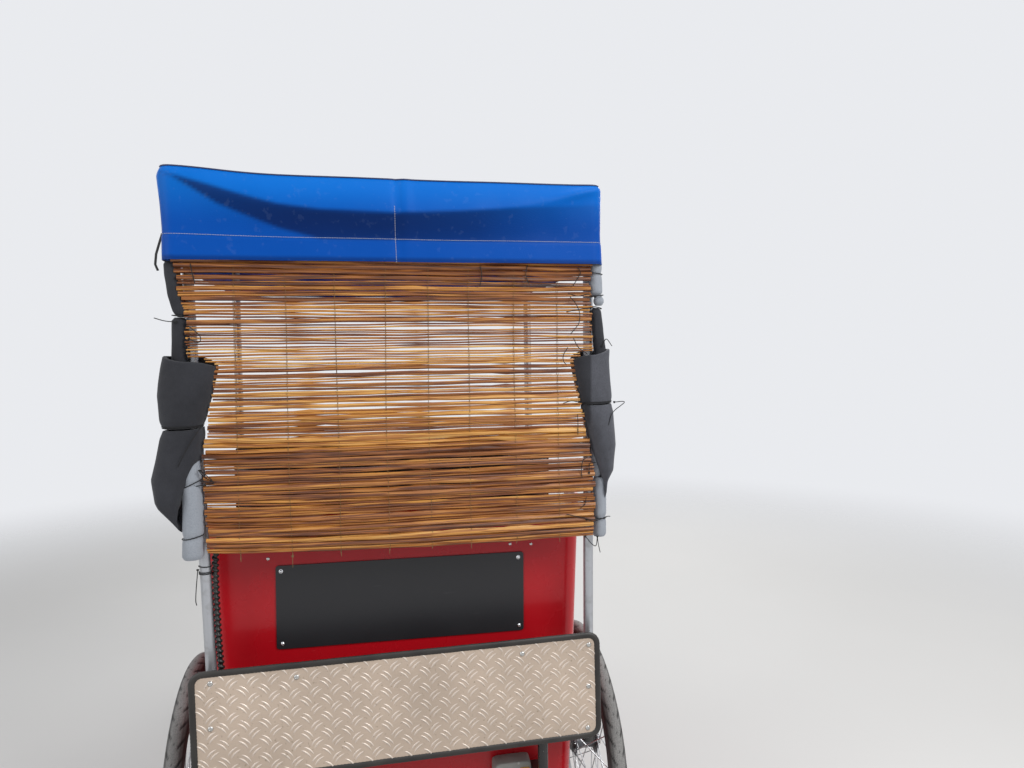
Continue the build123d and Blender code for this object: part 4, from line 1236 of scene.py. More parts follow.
@dataclass
class Studio:
    """Pale floor that fades into pale surroundings, and soft lamps."""

    floor_half: float = 12.0
    # how far from the middle the floor starts and ends to fade
    fade: tuple[float, float] = (2.6, 6.5)
    # how strong the world is as a light and where it is seen
    glow: tuple[float, float] = (0.4, 0.86)
    # columns: place, target, size, power
    lamps: Sequence[tuple[Point, Point, float, float]] = (
        ((-4.2, -3.0, 4.2), (-1.1, 0.0, 1.0), 2.4, 185.0),
        ((-3.6, 4.2, 3.0), (-1.0, 0.0, 0.8), 3.0, 78.0),
        ((3.6, -2.6, 3.8), (0.0, 0.0, 0.8), 3.0, 110.0),
        ((0.0, 0.0, 5.2), (0.0, 0.0, 0.0), 4.0, 90.0),
    )

    def build(self) -> None:
        """Builds the floor, the world and the lamps."""
        form = Former()
        half = self.floor_half
        form.grid([[Vector((x, y, 0.0)) for y in (-half, half)] for x in (-half, half)])
        floor = form.loose("floor")
        floor.data.materials.append(self.ground())
        self.surroundings()
        for number, (place, target, size, power) in enumerate(self.lamps):
            lamp = bpy.data.lights.new(f"soft_lamp_{number}", "AREA")
            lamp.shape = "SQUARE"
            lamp.size = size
            lamp.energy = power
            thing = put(lamp.name, lamp)
            thing.location = place
            thing.rotation_euler = (Vector(target) - Vector(place)).to_track_quat("-Z", "Y").to_euler()
        bpy.context.scene.view_settings.view_transform = "Standard"

    def ground(self) -> bpy.types.Material:
        """Makes the floor's material, which turns clear far from the object."""
        material = bpy.data.materials.new("floor_pale")
        graph = Graph(material)
        x, y, _ = graph.axes()
        low, high = self.fade
        away = ((x**2.0 + y**2.0) ** 0.5).over((low + high) / 2, (high - low) / 2)
        haze = graph.speckle(0.6, 3.0)
        pale = {
            "Base Color": graph.mix(tint("CBCAC8"), tint("D3D2D0"), haze),
            "Roughness": 0.9,
            "Specular IOR Level": 0.1,
        }
        solid = graph.add("ShaderNodeBsdfPrincipled", None, pale)
        clear = graph.add("ShaderNodeBsdfTransparent")
        graph.end(graph.add("ShaderNodeMixShader", None, {0: away, 1: solid, 2: clear}))
        return material

    def surroundings(self) -> None:
        """Makes the world: pale where it is seen, plain as a light."""
        world = bpy.data.worlds.new("surroundings")
        bpy.context.scene.world = world
        graph = Graph(world)
        direct, shiny = (
            graph.add("ShaderNodeLightPath", output=f"Is {ray} Ray") for ray in ("Camera", "Glossy")
        )
        low, high = self.glow
        ends = {"Value": direct.math("MAXIMUM", direct, shiny), "To Min": low, "To Max": high}
        strength = graph.add("ShaderNodeMapRange", None, ends)
        inputs = {"Color": (0.95, 0.965, 1.0), "Strength": strength}
        graph.end(graph.add("ShaderNodeBackground", None, inputs), "ShaderNodeOutputWorld")


# The rickshaw's own pieces


@dataclass
class Canopy:
    """The cloth cover with its piping, hem stitches, seam and strap."""

    stitcher: Stitcher
    back: float = -0.345
    front: float = 0.640
    half: float = 0.486
    top: float = 1.8587
    hem: float = 1.6755
    corner: float = 0.022
    thick: float = 0.0014
    columns: int = 440
    steps: int = 40
    # where the frame's bars are, ahead of the axle, and the sag between them
    bows: Sequence[float] = (-0.331, 0.06, 0.4, 0.626)
    sag: float = 0.006
    # how far the two rear corners stand up
    lifts: tuple[float, float] = (0.015, 0.001)
    # shares of the way from the middle of the top to its edge
    rings: Sequence[float] = (
        0.02, 0.1, 0.2, 0.3, 0.4, 0.5, 0.6, 0.7, 0.78, 0.85, 0.9, 0.94, 0.97, 0.988
    )
    # columns: share of the back from the left, where the fold's painted shade starts and ends
    # as shares of the drop, and its strength
    fold: Sequence[tuple[float, float, float, float]] = (
        (0.0, 0.06, 0.07, 0.5),
        (0.03, 0.10, 0.12, 1.0),
        (0.12, 0.20, 0.38, 1.0),
        (0.25, 0.35, 0.62, 1.0),
        (0.34, 0.40, 0.735, 1.0),
        (0.50, 0.42, 0.735, 1.0),
        (0.70, 0.36, 0.735, 0.85),
        (0.85, 0.30, 0.735, 0.5),
        (1.0, 0.25, 0.735, 0.2),
    )
    stitch_line: float = 0.735
    seam_y: float = -0.009
    # columns: distance ahead of the axle, Y, height
    strap: Sequence[Point] = (
        (-0.31, 0.501, 1.735),
        (-0.314, 0.507, 1.712),
        (-0.316, 0.513, 1.69),
        (-0.314, 0.516, 1.668),
        (-0.31, 0.512, 1.655),
    )

    def outline(self, share: float) -> tuple[float, float, float, float]:
        """Gives a point of the plan outline and its outward direction.

        Args:
            share: How far round, from 0 to 1, starting at the middle of the back.

        Returns:
            X, Y, and the outward X and Y.
        """
        long = self.front - self.back
        wide = 2 * self.half
        r = self.corner
        runs = (wide / 2 - r, long - 2 * r, wide - 2 * r, long - 2 * r, wide / 2 - r)
        arc = math.pi * r / 2
        total = sum(runs) + 4 * arc
        left = share * total
        cx = ahead((self.front + self.back) / 2)
        heading = math.pi
        x, y = cx - long / 2, 0.0
        for i, run in enumerate(runs):
            out = (math.cos(heading), math.sin(heading))
            along = (out[1], -out[0])
            if left <= run or i == 4:
                break
            x, y = x + along[0] * run, y + along[1] * run
            left -= run
            centre = (x - out[0] * r, y - out[1] * r)
            if left <= arc:
                angle = heading - left / r
                out = (math.cos(angle), math.sin(angle))
                return centre[0] + out[0] * r, centre[1] + out[1] * r, out[0], out[1]
            heading -= math.pi / 2
            out = (math.cos(heading), math.sin(heading))
            x, y = centre[0] + out[0] * r, centre[1] + out[1] * r
            left -= arc
        step = min(left, run)
        return x + along[0] * step, y + along[1] * step, out[0], out[1]

    def lid(self, x: float, y: float) -> float:
        """Gives the height of the cloth over the frame.

        Args:
            x: The place's X.
            y: The place's Y.

        Returns:
            The height.
        """
        reach = x - AXLE_X
        sag = 0.0
        for low, high in zip(self.bows, self.bows[1:]):
            if low < reach < high:
                sag = self.sag * math.sin(math.pi * (reach - low) / (high - low)) ** 2
        sag *= max(0.0, 1 - (abs(y) / 0.47) ** 4)
        near_left = math.hypot(x - ahead(self.back), y - self.half)
        near_right = math.hypot(x - ahead(self.back), y + self.half)
        lift = self.lifts[0] * bell(near_left, 0.16)
        lift += self.lifts[1] * bell(near_right, 0.1)
        ripple = 0.0015 * noise.noise(Vector((x * 5, y * 5, 0.3)))
        return self.top - sag + lift + ripple

    def valance(self, share: float, drop: float) -> Vector:
        """Gives a point of the hanging side.

        Args:
            share: How far round the outline.
            drop: From 0 at the top edge to 1 at the hem.

        Returns:
            The point.
        """
        x, y, ox, oy = self.outline(share)
        edge = self.lid(x, y)
        side_on = abs(ox) > abs(oy)
        run = y if side_on else (x - ahead((self.back + self.front) / 2))
        width = self.half if side_on else (self.front - self.back) / 2
        middle = max(0.0, 1 - abs(run / width) ** 2.4)
        shift = 0.045 * math.sin(3.1 * run + (0.6 if ox < 0 else 2.0))
        ridge = 0.08 + (0.33 + shift) * middle
        belly = drop / ridge if drop < ridge else 1 - (drop - ridge) / (self.stitch_line - ridge)
        belly = max(0.0, belly)
        belly = belly * belly * (1.6 - 0.6 * belly) if drop > ridge else 1 - (1 - belly) ** 1.6
        out = (0.006 + 0.017 * middle) * belly
        out += 0.0012 if drop > self.stitch_line else 0.0
        hem_wave = ease(drop, 0.6, 1.0) * 0.003 * noise.noise(Vector((x * 9, y * 9, 4.0)))
        folds = 0.0022 * noise.noise(Vector((x * 14, y * 14, drop * 2.4)))
        folds *= math.sin(math.pi * min(1, drop * 1.3))
        if ox < -0.5:
            out -= 0.0035 * bell(y - self.seam_y, 0.007) * (1 - 0.5 * drop)
            out += 0.003 * bell(y - self.seam_y + 0.02, 0.012) * (1 - drop)
            fold = (drop - 0.03 - (y + self.half) * 1.3) / 0.06
            out += 0.006 * math.exp(-(fold**2) - (((y + 0.44) / 0.06) ** 2))
        out += hem_wave + folds
        height = edge + (self.hem - edge) * drop
        height += 0.002 * noise.noise(Vector((x * 4, y * 4, 9.0))) * drop
        return Vector((x + ox * out, y + oy * out + self.slide(y, drop), height))

    def slide(self, y: float, drop: float) -> float:
        """Gives how far the cloth has slipped to the left on its frame."""
        share = (y + self.half) / (2 * self.half)
        return 0.0115 * share + (0.0072 - 0.0092 * drop) * (1 - share)

    def mark_folds(self, cover: bpy.types.Object) -> None:
        """Marks the cloth that lies in a fold, where its colour is darkened as painted shade.

        Args:
            cover: The cloth, still without thickness.
        """
        values = []
        for corner in cover.data.vertices:
            x, y, z = corner.co
            drop = (self.lid(x, y) - z) / (self.lid(x, y) - self.hem)
            share = (self.half + 0.012 - y) / (2 * self.half)
            if x > ahead(self.back) + 0.012:
                reach = (x - ahead(self.back)) / (self.front - self.back)
                share = 0.5 + 0.3 * math.cos(math.pi * reach)
            start, end, strength = read_table(self.fold, share)
            fold_shade = ease(drop, start - 0.03, start + 0.03) * (1 - ease(drop, end - 0.03, end + 0.03))
            values.append(fold_shade * strength)
        store(cover, "fold", values)

    def build(self) -> None:
        """Builds the cover and what is sewn to it."""
        shares = [i / self.columns for i in range(self.columns)]
        middle = Vector((ahead((self.back + self.front) / 2), 0.0))
        rows = []
        for ring in self.rings:
            row = []
            for share in shares:
                x, y, _, _ = self.outline(share)
                spot = middle + (Vector((x, y)) - middle) * ring
                row.append(Vector((spot.x, spot.y + self.slide(spot.y, 0.0), self.lid(spot.x, spot.y))))
            rows.append(row)
        for step in range(self.steps + 1):
            rows.append([self.valance(share, step / self.steps) for share in shares])
        form = Former()
        form.grid(rows, around=True)
        form.cap(0, self.columns)
        cover = form.loose("canopy_cloth")
        self.mark_folds(cover)
        modify(cover, "SOLIDIFY", thickness=self.thick, offset=-1)
        settle(cover)
        dress(cover, CLOTH, stands_for=("canopy_cover",), smooth=60)
        piping = Former()
        edge = [self.valance(s, 0.0) + Vector((0, 0, 0.0008)) for s in shares]
        piping.tube(edge, 0.0019, 6, closed=True)
        binding = dress(piping.loose("canopy_piping"), PIPING)
        lines = [[self.off(s, self.stitch_line - 0.012) for s in shares + [1.0]]]
        seam = self.seam_share()
        lines.append([self.off(seam + 0.0016, d / 40) for d in range(14, 41)])
        stitches = self.stitcher.run("canopy_stitches", lines, 0.0052, 0.0006, THREAD_PALE)
        dress(stitches, THREAD_PALE)
        strap = Former()
        strap.tube([Vector((ahead(x), y, z)) for x, y, z in self.strap], 0.0045, 8, flat=0.35)
        tab = dress(strap.loose("canopy_strap"), CORD_BLACK)

    def off(self, share: float, drop: float) -> Vector:
        """Gives a point of thread just outside the cloth."""
        _, _, ox, oy = self.outline(share % 1.0)
        return self.valance(share % 1.0, drop) + Vector((ox, oy, 0.0)) * 0.0006

    def seam_share(self) -> float:
        """Gives how far round the back seam lies."""
        total = 2 * (self.front - self.back) + 4 * self.half
        return 1 + self.seam_y / total


@dataclass
class ReedBlind:
    """Reed sticks on threads, with the lacing that ties them to the posts."""

    repeater: Repeater
    back: float = -0.330
    low: float = 1.020
    high: float = 1.8274
    pitch: float = 0.01205
    # how far the threads bow round the reeds, and how far the lower left corner rises
    weave: float = 0.0066
    slack: float = 0.017
    # radius of a thread and of a lace
    thread: float = 0.00055
    lace: float = 0.001
    loose_thread: float = 0.245
    threads: Sequence[float] = (0.355, 0.245, 0.138, 0.03, -0.068, -0.16, -0.268, -0.375)
    # columns: height, Y of the left ends, Y of the right ends
    edge: Sequence[tuple[float, float, float]] = (
        (1.02, 0.424, -0.461),
        (1.16, 0.426, -0.464),
        (1.243, 0.428, -0.452),
        (1.32, 0.415, -0.436),
        (1.38, 0.408, -0.424),
        (1.458, 0.398, -0.414),
        (1.463, 0.454, -0.463),
        (1.555, 0.456, -0.459),
        (1.61, 0.468, -0.459),
        (1.675, 0.480, -0.459),
        (1.84, 0.476, -0.459),
    )
    # columns: height, share of full reed thickness, chance of a second reed
    cover: Sequence[tuple[float, float, float]] = (
        (1.02, 1.12, 0.55),
        (1.27, 1.1, 0.6),
        (1.33, 0.95, 0.7),
        (1.42, 0.84, 0.75),
        (1.55, 0.86, 0.75),
        (1.60, 1.02, 0.7),
        (1.66, 1.14, 0.6),
        (1.83, 1.14, 0.6),
    )

    def build(self) -> None:
        """Builds the sticks, threads, top lath and lacing."""
        chance = Random(41)
        stamp = Former()
        girth = {0: 0.86, 24: 0.86}
        for node in (5, 11, 18):
            girth |= {node - 1: 0.98, node: 1.16, node + 1: 0.98}
        rings = [(-0.5 + i / 24, girth.get(i, 1.0)) for i in range(25)]
        stamp.lathe(rings, (0, 0, 0), axis=(0, 1, 0), sides=7)
        stamp.cap(0, 7, flip=True)
        stamp.cap(24 * 7, 7)
        places = []
        count = round((self.high - self.low) / self.pitch)
        for row in range(count):
            height = self.low + (row + 0.5) * self.pitch
            left, right = read_table(self.edge, height)
            full, double = read_table(self.cover, height)
            thick = self.pitch * 0.5 * full * chance.uniform(0.78, 1.06)
            parts = ((0.0, 1.0),)
            if chance.random() < double:
                share = chance.uniform(0.42, 0.6)
                parts = ((-0.5 + share / 2, share), (share / 2, 1.0 - share))
            for shift, grow in parts:
                z = height + shift * self.pitch + chance.uniform(-0.0009, 0.0009)
                a = left + chance.uniform(-0.005, 0.003)
                b = right + chance.uniform(-0.003, 0.005)
                spot = Vector((ahead(self.back) + chance.uniform(-0.0012, 0.0012), (a + b) / 2, z))
                radius = thick * grow
                turn = (chance.uniform(-0.0024, 0.0024), chance.uniform(0, 6.0), 0.0)
                places.append(Place(spot, turn, (radius, a - b, radius)))
        sticks = self.repeater.run("blind_sticks", stamp, places, REED, seed=23)
        data = corners(sticks)
        level = np.round((data[:, 2] - self.low) / self.pitch - 0.5)
        phase = np.sin(level * 12.9898) * 43758.5453 % 1 * 6.283
        data[:, 2] += 0.0012 * np.sin(data[:, 1] * 9 + phase)
        data[:, 2] += 0.0006 * np.sin(data[:, 1] * 31 + phase * 3)
        data[:, 0] += 0.0012 * np.sin(data[:, 1] * 7 + phase * 2)
        slack = np.clip((1.35 - data[:, 2]) / 0.33, 0.0, 1.0)
        data[:, 2] += self.slack * np.clip(data[:, 1] / 0.45, 0.0, 1.0) ** 2 * slack
        sticks.data.vertices.foreach_set("co", data.ravel())
        dress(sticks, REED, stands_for=("rear_blind",), smooth=50)
        twine = Former()
        for y in self.threads:
            for strand in (0, 1):
                path = []
                for k in range(count * 4 + 1):
                    z = self.low - 0.002 + k * self.pitch / 4
                    wave = math.cos(math.pi * k / 4 + math.pi * strand)
                    drift = 0.004 * noise.noise(Vector((y * 7, z * 3, 1.5)))
                    spot = (ahead(self.back) + self.weave * wave, y + drift + 0.0008 * strand, z)
                    path.append(Vector(spot))
                twine.tube(path, self.thread, 4)
            tail = self.low - chance.uniform(0.006, 0.012) - (0.02 if y == self.loose_thread else 0.0)
            heights = (self.low, (self.low + tail) / 2, tail)
            twine.tube([Vector((ahead(self.back), y, z)) for z in heights], 0.0007, 4)
            if y == self.loose_thread:
                twine.knot(Vector((ahead(self.back), y, self.low - 0.003)), 0.0024)
        dress(twine.loose("blind_threads"), THREAD_TAN)
        lath = Former()
        lath.slab((ahead(self.back), 0.0, self.high + 0.0056), (0.009, 0.91, 0.0112))
        dress(lath.loose("blind_lath"), PLY, bevel=0.002)
        self.lacing()

    def lacing(self) -> None:
        """Builds the black strings that tie the blind to its threads and posts."""
        back = ahead(self.back) - 0.0085
        laces = Former()
        # each line: points of Y and Z on the blind's rear face
        lines = (
            ((-0.425, 1.668), (-0.431, 1.655), (-0.423, 1.640), (-0.412, 1.624)),
            (
                *((-0.405, 1.598), (-0.418, 1.583), (-0.428, 1.56)),
                *((-0.426, 1.536), (-0.414, 1.52), (-0.405, 1.51)),
            ),
            ((-0.412, 1.500), (-0.424, 1.478), (-0.446, 1.462)),
            ((-0.398, 1.478), (-0.388, 1.462), (-0.386, 1.448), (-0.394, 1.436)),
            ((-0.400, 1.606), (-0.424, 1.6), (-0.448, 1.604), (-0.466, 1.598)),
            ((-0.395, 1.562), (-0.425, 1.568), (-0.456, 1.572)),
            ((-0.385, 1.345), (-0.405, 1.350), (-0.424, 1.347)),
            ((-0.420, 1.318), (-0.421, 1.29), (-0.4205, 1.268)),
            ((-0.443, 1.214), (-0.432, 1.205), (-0.428, 1.18), (-0.43, 1.165)),
            ((-0.39, 1.078), (-0.42, 1.07), (-0.452, 1.062), (-0.478, 1.064)),
            ((-0.44, 1.118), (-0.436, 1.10), (-0.424, 1.09)),
            ((0.449, 1.535), (0.425, 1.512), (0.428, 1.498), (0.447, 1.506)),
            ((0.437, 1.222), (0.424, 1.205), (0.405, 1.192), (0.418, 1.189), (0.446, 1.186)),
            ((0.440, 1.668), (0.437, 1.650), (0.432, 1.626)),
            ((-0.19, 1.668), (-0.193, 1.645), (-0.188, 1.622)),
            ((-0.302, 1.672), (-0.298, 1.65), (-0.304, 1.628)),
        )
        for line in lines:
            path = smooth_path([Vector((back, y, z)) for y, z in line], 7)
            laces.tube(path, self.lace, 6)
        for y, z in ((-0.466, 1.598), (-0.456, 1.572), (-0.424, 1.347), (0.447, 1.506), (0.446, 1.186)):
            laces.knot(Vector((back, y, z)), 0.0022)
        dress(laces.loose("blind_lacing"), CORD_BLACK)


@dataclass(frozen=True)
class FoamPipe:
    """One length of foam pipe.

    Each station is a height, Y, distance ahead of the axle and radius.
    """

    stations: Sequence[tuple[float, float, float, float]]
    finish: Finish
    bore: float = 0.008


@dataclass(frozen=True)
class FoamWrap:
    """One sheet of foam wound round a post and its pipe.

    Each station is a height, the Y of the inner side and the Y of the outer side. The
    lower and upper edges have a height at the inner side, back, outer side and front.
    """

    stations: Sequence[tuple[float, float, float]]
    low: tuple[float, float, float, float]
    high: tuple[float, float, float, float]
    finish: Finish
    crease: float = 0.5
    deep: float = 0.037
    pinch_low: float = 0.0
    pinch_high: float = 0.0


@dataclass
class FoamGuard:
    """The foam beside one rear post: pipes, sheets wound round them, and the strings."""

    name: str
    pipes: Sequence[FoamPipe]
    wraps: Sequence[FoamWrap]
    # columns: height, Y, distance ahead of the axle, radius, rise over the width
    rings: Sequence[tuple[float, float, float, float, float]]
    strings: Sequence[Sequence[tuple[float, float, float]]]
    middle: float = -0.318
    wall: float = 0.008
    cord: float = 0.0011
    string: float = 0.001
    around: int = 72
    levels: int = 30

    def build(self) -> None:
        """Builds the pipes, wraps, ties and strings."""
        groups: dict[Finish, Former] = {}
        for pipe in self.pipes:
            self.pipe(groups.setdefault(pipe.finish, Former()), pipe)
        for number, (finish, form) in enumerate(groups.items()):
            stands = (f"post_sleeves_{self.name}",) if number == 0 else ()
            piece = form.loose(f"foam_pipe_{self.name}_{number}")
            dress(piece, finish, stands_for=stands, smooth=55)
        cords = Former()
        for number, wrap in enumerate(self.wraps):
            form = Former()
            self.wrap(form, wrap)
            stands = (f"foam_wraps_{self.name}",) if number == 0 else ()
            piece = form.loose(f"foam_wrap_{self.name}_{number}")
            dress(piece, wrap.finish, stands_for=stands, smooth=60, bevel=0.0025)
        upper = self.wraps[0]
        for turn in (0.0, 0.0032):
            ring = [
                self.skin(upper, angle, self.edge(upper.low, angle) + 0.002 + turn, 0.0006)
                for angle in np.linspace(0, 2 * math.pi, 60, endpoint=False)
            ]
            cords.tube(ring, self.cord, 6, closed=True)
        for height, y, reach, radius, rise in self.rings:
            ring = []
            for angle in np.linspace(0, 2 * math.pi, 36, endpoint=False):
                across = math.cos(angle)
                x = ahead(reach) + radius * math.sin(angle)
                ring.append(Vector((x, y + radius * across, height + rise * across)))
            cords.tube(ring, self.cord, 6, closed=True)
        for line in self.strings:
            path = smooth_path([Vector((ahead(x), y, z)) for x, y, z in line], 7)
            cords.tube(path, self.string, 6)
            cords.knot(path[0], 0.0023)
        dress(cords.loose(f"foam_ties_{self.name}"), CORD_BLACK)

    def pipe(self, form: Former, pipe: FoamPipe) -> None:
        """Adds one split pipe of foam, pinched where a ring goes round it.

        Args:
            form: Where it is added.
            pipe: The pipe.
        """
        low, high = pipe.stations[0][0], pipe.stations[-1][0]
        pairs = []
        steps = max(6, int((high - low) / 0.006))
        for i in range(steps + 1):
            z = low + (high - low) * i / steps
            y, reach, radius = read_table(pipe.stations, z)
            centre = Vector((ahead(reach), y, z))
            end = min(i, steps - i) / steps * (high - low)
            radius -= 0.0035 * (1 - ease(end, 0.0, 0.007))
            radius -= sum(0.0028 * bell(z - ring[0], 0.006) for ring in self.rings)
            outer, inner = [], []
            for j, (cos, sin) in enumerate(circle(32)):
                angle = 2 * math.pi * j / 32
                grow = radius + 0.0011 * noise.noise(Vector((cos * 2, sin * 2, z * 25)))
                grow -= 0.0025 * bell(angle - 1.2, 0.09)
                outer.append(centre + Vector((cos, sin, 0)) * grow)
                inner.append(centre + Vector((cos, sin, 0)) * pipe.bore)
            pairs.append((outer, inner))
        form.wall(pairs)

    def edge(self, heights: tuple[float, float, float, float], angle: float) -> float:
        """Gives the height of a sheet's edge at an angle, from its four heights."""
        spot = (angle / (math.pi / 2)) % 4
        start, end = heights[int(spot) % 4], heights[(int(spot) + 1) % 4]
        return start + (end - start) * ease(spot % 1.0, 0.0, 1.0)

    def skin(self, wrap: FoamWrap, angle: float, height: float, out: float) -> Vector:
        """Gives a point of a sheet.

        Args:
            wrap: The sheet.
            angle: Round the post: 0 inside, a quarter at the back, a half outside.
            height: The point's height.
            out: How far it lies outside the sheet's outer face.

        Returns:
            The point.
        """
        inner, outer = read_table(wrap.stations, height)
        cos, sin = math.cos(angle), math.sin(angle)
        side = 1.0 if outer > inner else -1.0
        half = abs(outer - inner) / 2 + out
        deep = (wrap.deep + out) * min(1.0, 0.35 + half / 0.045)
        shift = (wrap.crease - 0.5) * 1.5 * half * sin**3 if sin > 0 else 0.0
        dent = 0.003 * noise.noise(Vector((cos * 1.4, sin * 1.4, height * 11 + inner * 9)))
        tight = wrap.pinch_low * bell(height - self.edge(wrap.low, angle), 0.011)
        tight += wrap.pinch_high * bell(height - self.edge(wrap.high, angle), 0.011)
        half = max(0.001, half + (dent - tight) * abs(cos))
        deep = max(0.001, deep + (dent - tight) * abs(sin))
        across = -signed_power(cos, 0.86) * half + shift
        back = signed_power(sin, 0.86) * deep * (1.0 if sin > 0 else 1.3)
        return Vector((ahead(self.middle) - back, (inner + outer) / 2 + side * across, height))

    def wrap(self, form: Former, wrap: FoamWrap) -> None:
        """Adds one sheet of foam, open at both ends.

        Args:
            form: Where it is added.
            wrap: The sheet.
        """
        pairs = []
        for i in range(self.levels + 1):
            share = i / self.levels
            outer, inner = [], []
            for j in range(self.around):
                angle = 2 * math.pi * j / self.around
                low, high = self.edge(wrap.low, angle), self.edge(wrap.high, angle)
                height = low + (high - low) * share
                outer.append(self.skin(wrap, angle, height, 0.0))
                inner.append(self.skin(wrap, angle, height, -self.wall))
            pairs.append((outer, inner))
        form.wall(pairs)


def left_guard() -> FoamGuard:
    """Lists the foam beside the left rear post."""
    return FoamGuard(
        "left",
        pipes=(
            FoamPipe(
                (
                    (1.024, 0.4557, -0.322, 0.0222),
                    (1.10, 0.4535, -0.322, 0.0226),
                    (1.155, 0.452, -0.322, 0.0222),
                    (1.28, 0.4585, -0.322, 0.0205),
                ),
                FOAM_LIGHT,
            ),
            FoamPipe(((1.42, 0.4745, -0.313, 0.016), (1.553, 0.4705, -0.313, 0.016)), FOAM_DARK),
            FoamPipe(
                (
                    (1.554, 0.463, -0.317, 0.0162),
                    (1.565, 0.4665, -0.317, 0.0165),
                    (1.60, 0.4755, -0.317, 0.0165),
                    (1.644, 0.4815, -0.316, 0.0165),
                    (1.674, 0.483, -0.315, 0.0165),
                ),
                FOAM_DARK,
            ),
        ),
        wraps=(
            FoamWrap(
                (
                    (1.31, 0.427, 0.513),
                    (1.33, 0.4223, 0.5165),
                    (1.384, 0.4065, 0.5193),
                    (1.408, 0.401, 0.5163),
                    (1.4446, 0.3926, 0.510),
                    (1.470, 0.390, 0.5045),
                ),
                low=(1.3135, 1.312, 1.312, 1.312),
                high=(1.4446, 1.4565, 1.470, 1.468),
                finish=FOAM_DARK,
                pinch_low=0.004,
            ),
            FoamWrap(
                (
                    (1.0834, 0.474, 0.477),
                    (1.1063, 0.478, 0.4955),
                    (1.1381, 0.477, 0.524),
                    (1.1511, 0.474, 0.5301),
                    (1.2017, 0.4523, 0.5363),
                    (1.2443, 0.4329, 0.526),
                    (1.31, 0.4228, 0.513),
                ),
                low=(1.146, 1.10, 1.083, 1.083),
                high=(1.3133, 1.309, 1.3078, 1.31),
                finish=FOAM_DARK,
                pinch_high=0.004,
            ),
        ),
        rings=(
            (1.19, 0.4525, -0.322, 0.0215, -0.010),
            (1.073, 0.4545, -0.322, 0.0222, -0.004),
            (1.556, 0.4675, -0.315, 0.0175, 0.002),
            (0.998, 0.4379, -0.29, 0.0135, 0.001),
            (0.985, 0.4376, -0.29, 0.0135, 0.0),
            (0.9815, 0.4375, -0.29, 0.0135, 0.0),
        ),
        strings=(
            (
                *((-0.3575, 0.4266, 1.3145), (-0.3595, 0.445, 1.285)),
                *((-0.3595, 0.462, 1.255), (-0.357, 0.4731, 1.2324)),
            ),
            ((-0.346, 0.431, 1.221), (-0.341, 0.408, 1.1965), (-0.346, 0.4301, 1.1985)),
            (
                *((-0.304, 0.451, 0.993), (-0.3045, 0.455, 0.955)),
                *((-0.3045, 0.457, 0.926), (-0.3045, 0.4553, 0.914)),
            ),
            ((-0.331, 0.474, 1.5428), (-0.332, 0.4961, 1.5451), (-0.331, 0.5178, 1.5516)),
        ),
    )


def right_guard() -> FoamGuard:
    """Lists the foam beside the right rear post."""
    return FoamGuard(
        "right",
        pipes=(
            FoamPipe(((1.014, -0.4813, -0.3095, 0.0165), (1.16, -0.4827, -0.3095, 0.0162)), FOAM_LIGHT),
            FoamPipe(((1.162, -0.4745, -0.3095, 0.0128), (1.28, -0.476, -0.3095, 0.0128)), FOAM_LIGHT),
            FoamPipe(
                (
                    (1.40, -0.488, -0.3145, 0.015),
                    (1.466, -0.485, -0.3145, 0.0153),
                    (1.573, -0.4758, -0.3145, 0.0126),
                ),
                FOAM_DARK,
            ),
            FoamPipe(
                ((1.579, -0.4825, -0.3165, 0.0125), (1.602, -0.4825, -0.3165, 0.0125)),
                FOAM_LIGHT,
            ),
            FoamPipe(((1.603, -0.4748, -0.3165, 0.0165), (1.68, -0.4748, -0.3165, 0.0165)), FOAM_LIGHT),
        ),
        wraps=(
            FoamWrap(
                ((1.34, -0.4331, -0.5119), (1.4479, -0.411, -0.5045), (1.4738, -0.408, -0.5055)),
                low=(1.340, 1.341, 1.343, 1.342),
                high=(1.4479, 1.459, 1.4738, 1.469),
                finish=FOAM_DUST_AND_LIT_SIDE,
                crease=0.4,
                pinch_low=0.004,
            ),
            FoamWrap(
                (
                    (1.1083, -0.4905, -0.4925),
                    (1.1523, -0.4879, -0.498),
                    (1.18, -0.479, -0.5135),
                    (1.2408, -0.460, -0.5191),
                    (1.2796, -0.4489, -0.517),
                    (1.34, -0.4331, -0.5124),
                ),
                low=(1.1523, 1.13, 1.1083, 1.1083),
                high=(1.340, 1.339, 1.341, 1.34),
                finish=FOAM_DUST_AND_LIT_SIDE,
                pinch_high=0.004,
            ),
        ),
        rings=(
            (1.06, -0.4815, -0.3095, 0.0165, 0.001),
            (1.655, -0.475, -0.3165, 0.0165, 0.002),
            (1.602, -0.4775, -0.3165, 0.0165, -0.002),
            (1.574, -0.4765, -0.3145, 0.0135, 0.003),
        ),
        strings=(
            ((-0.337, -0.448, 1.175), (-0.337, -0.450, 1.197), (-0.331, -0.4667, 1.199)),
            (
                *((-0.336, -0.4374, 1.0211), (-0.334, -0.4549, 1.0004)),
                *((-0.326, -0.4675, 0.9946), (-0.328, -0.4703, 1.0166)),
            ),
            ((-0.328, -0.4703, 1.0166), (-0.326, -0.4735, 0.996), (-0.327, -0.4775, 0.9768)),
            (
                *((-0.337, -0.4404, 1.0624), (-0.332, -0.4631, 1.0562)),
                *((-0.328, -0.4937, 1.0642), (-0.318, -0.5064, 1.0623)),
            ),
            ((-0.331, -0.4859, 1.4805), (-0.332, -0.4962, 1.4973), (-0.331, -0.511, 1.4802)),
            (
                *((-0.346, -0.510, 1.3452), (-0.346, -0.536, 1.3444)),
                *((-0.352, -0.5046, 1.3212), (-0.354, -0.4917, 1.2902)),
            ),
        ),
    )


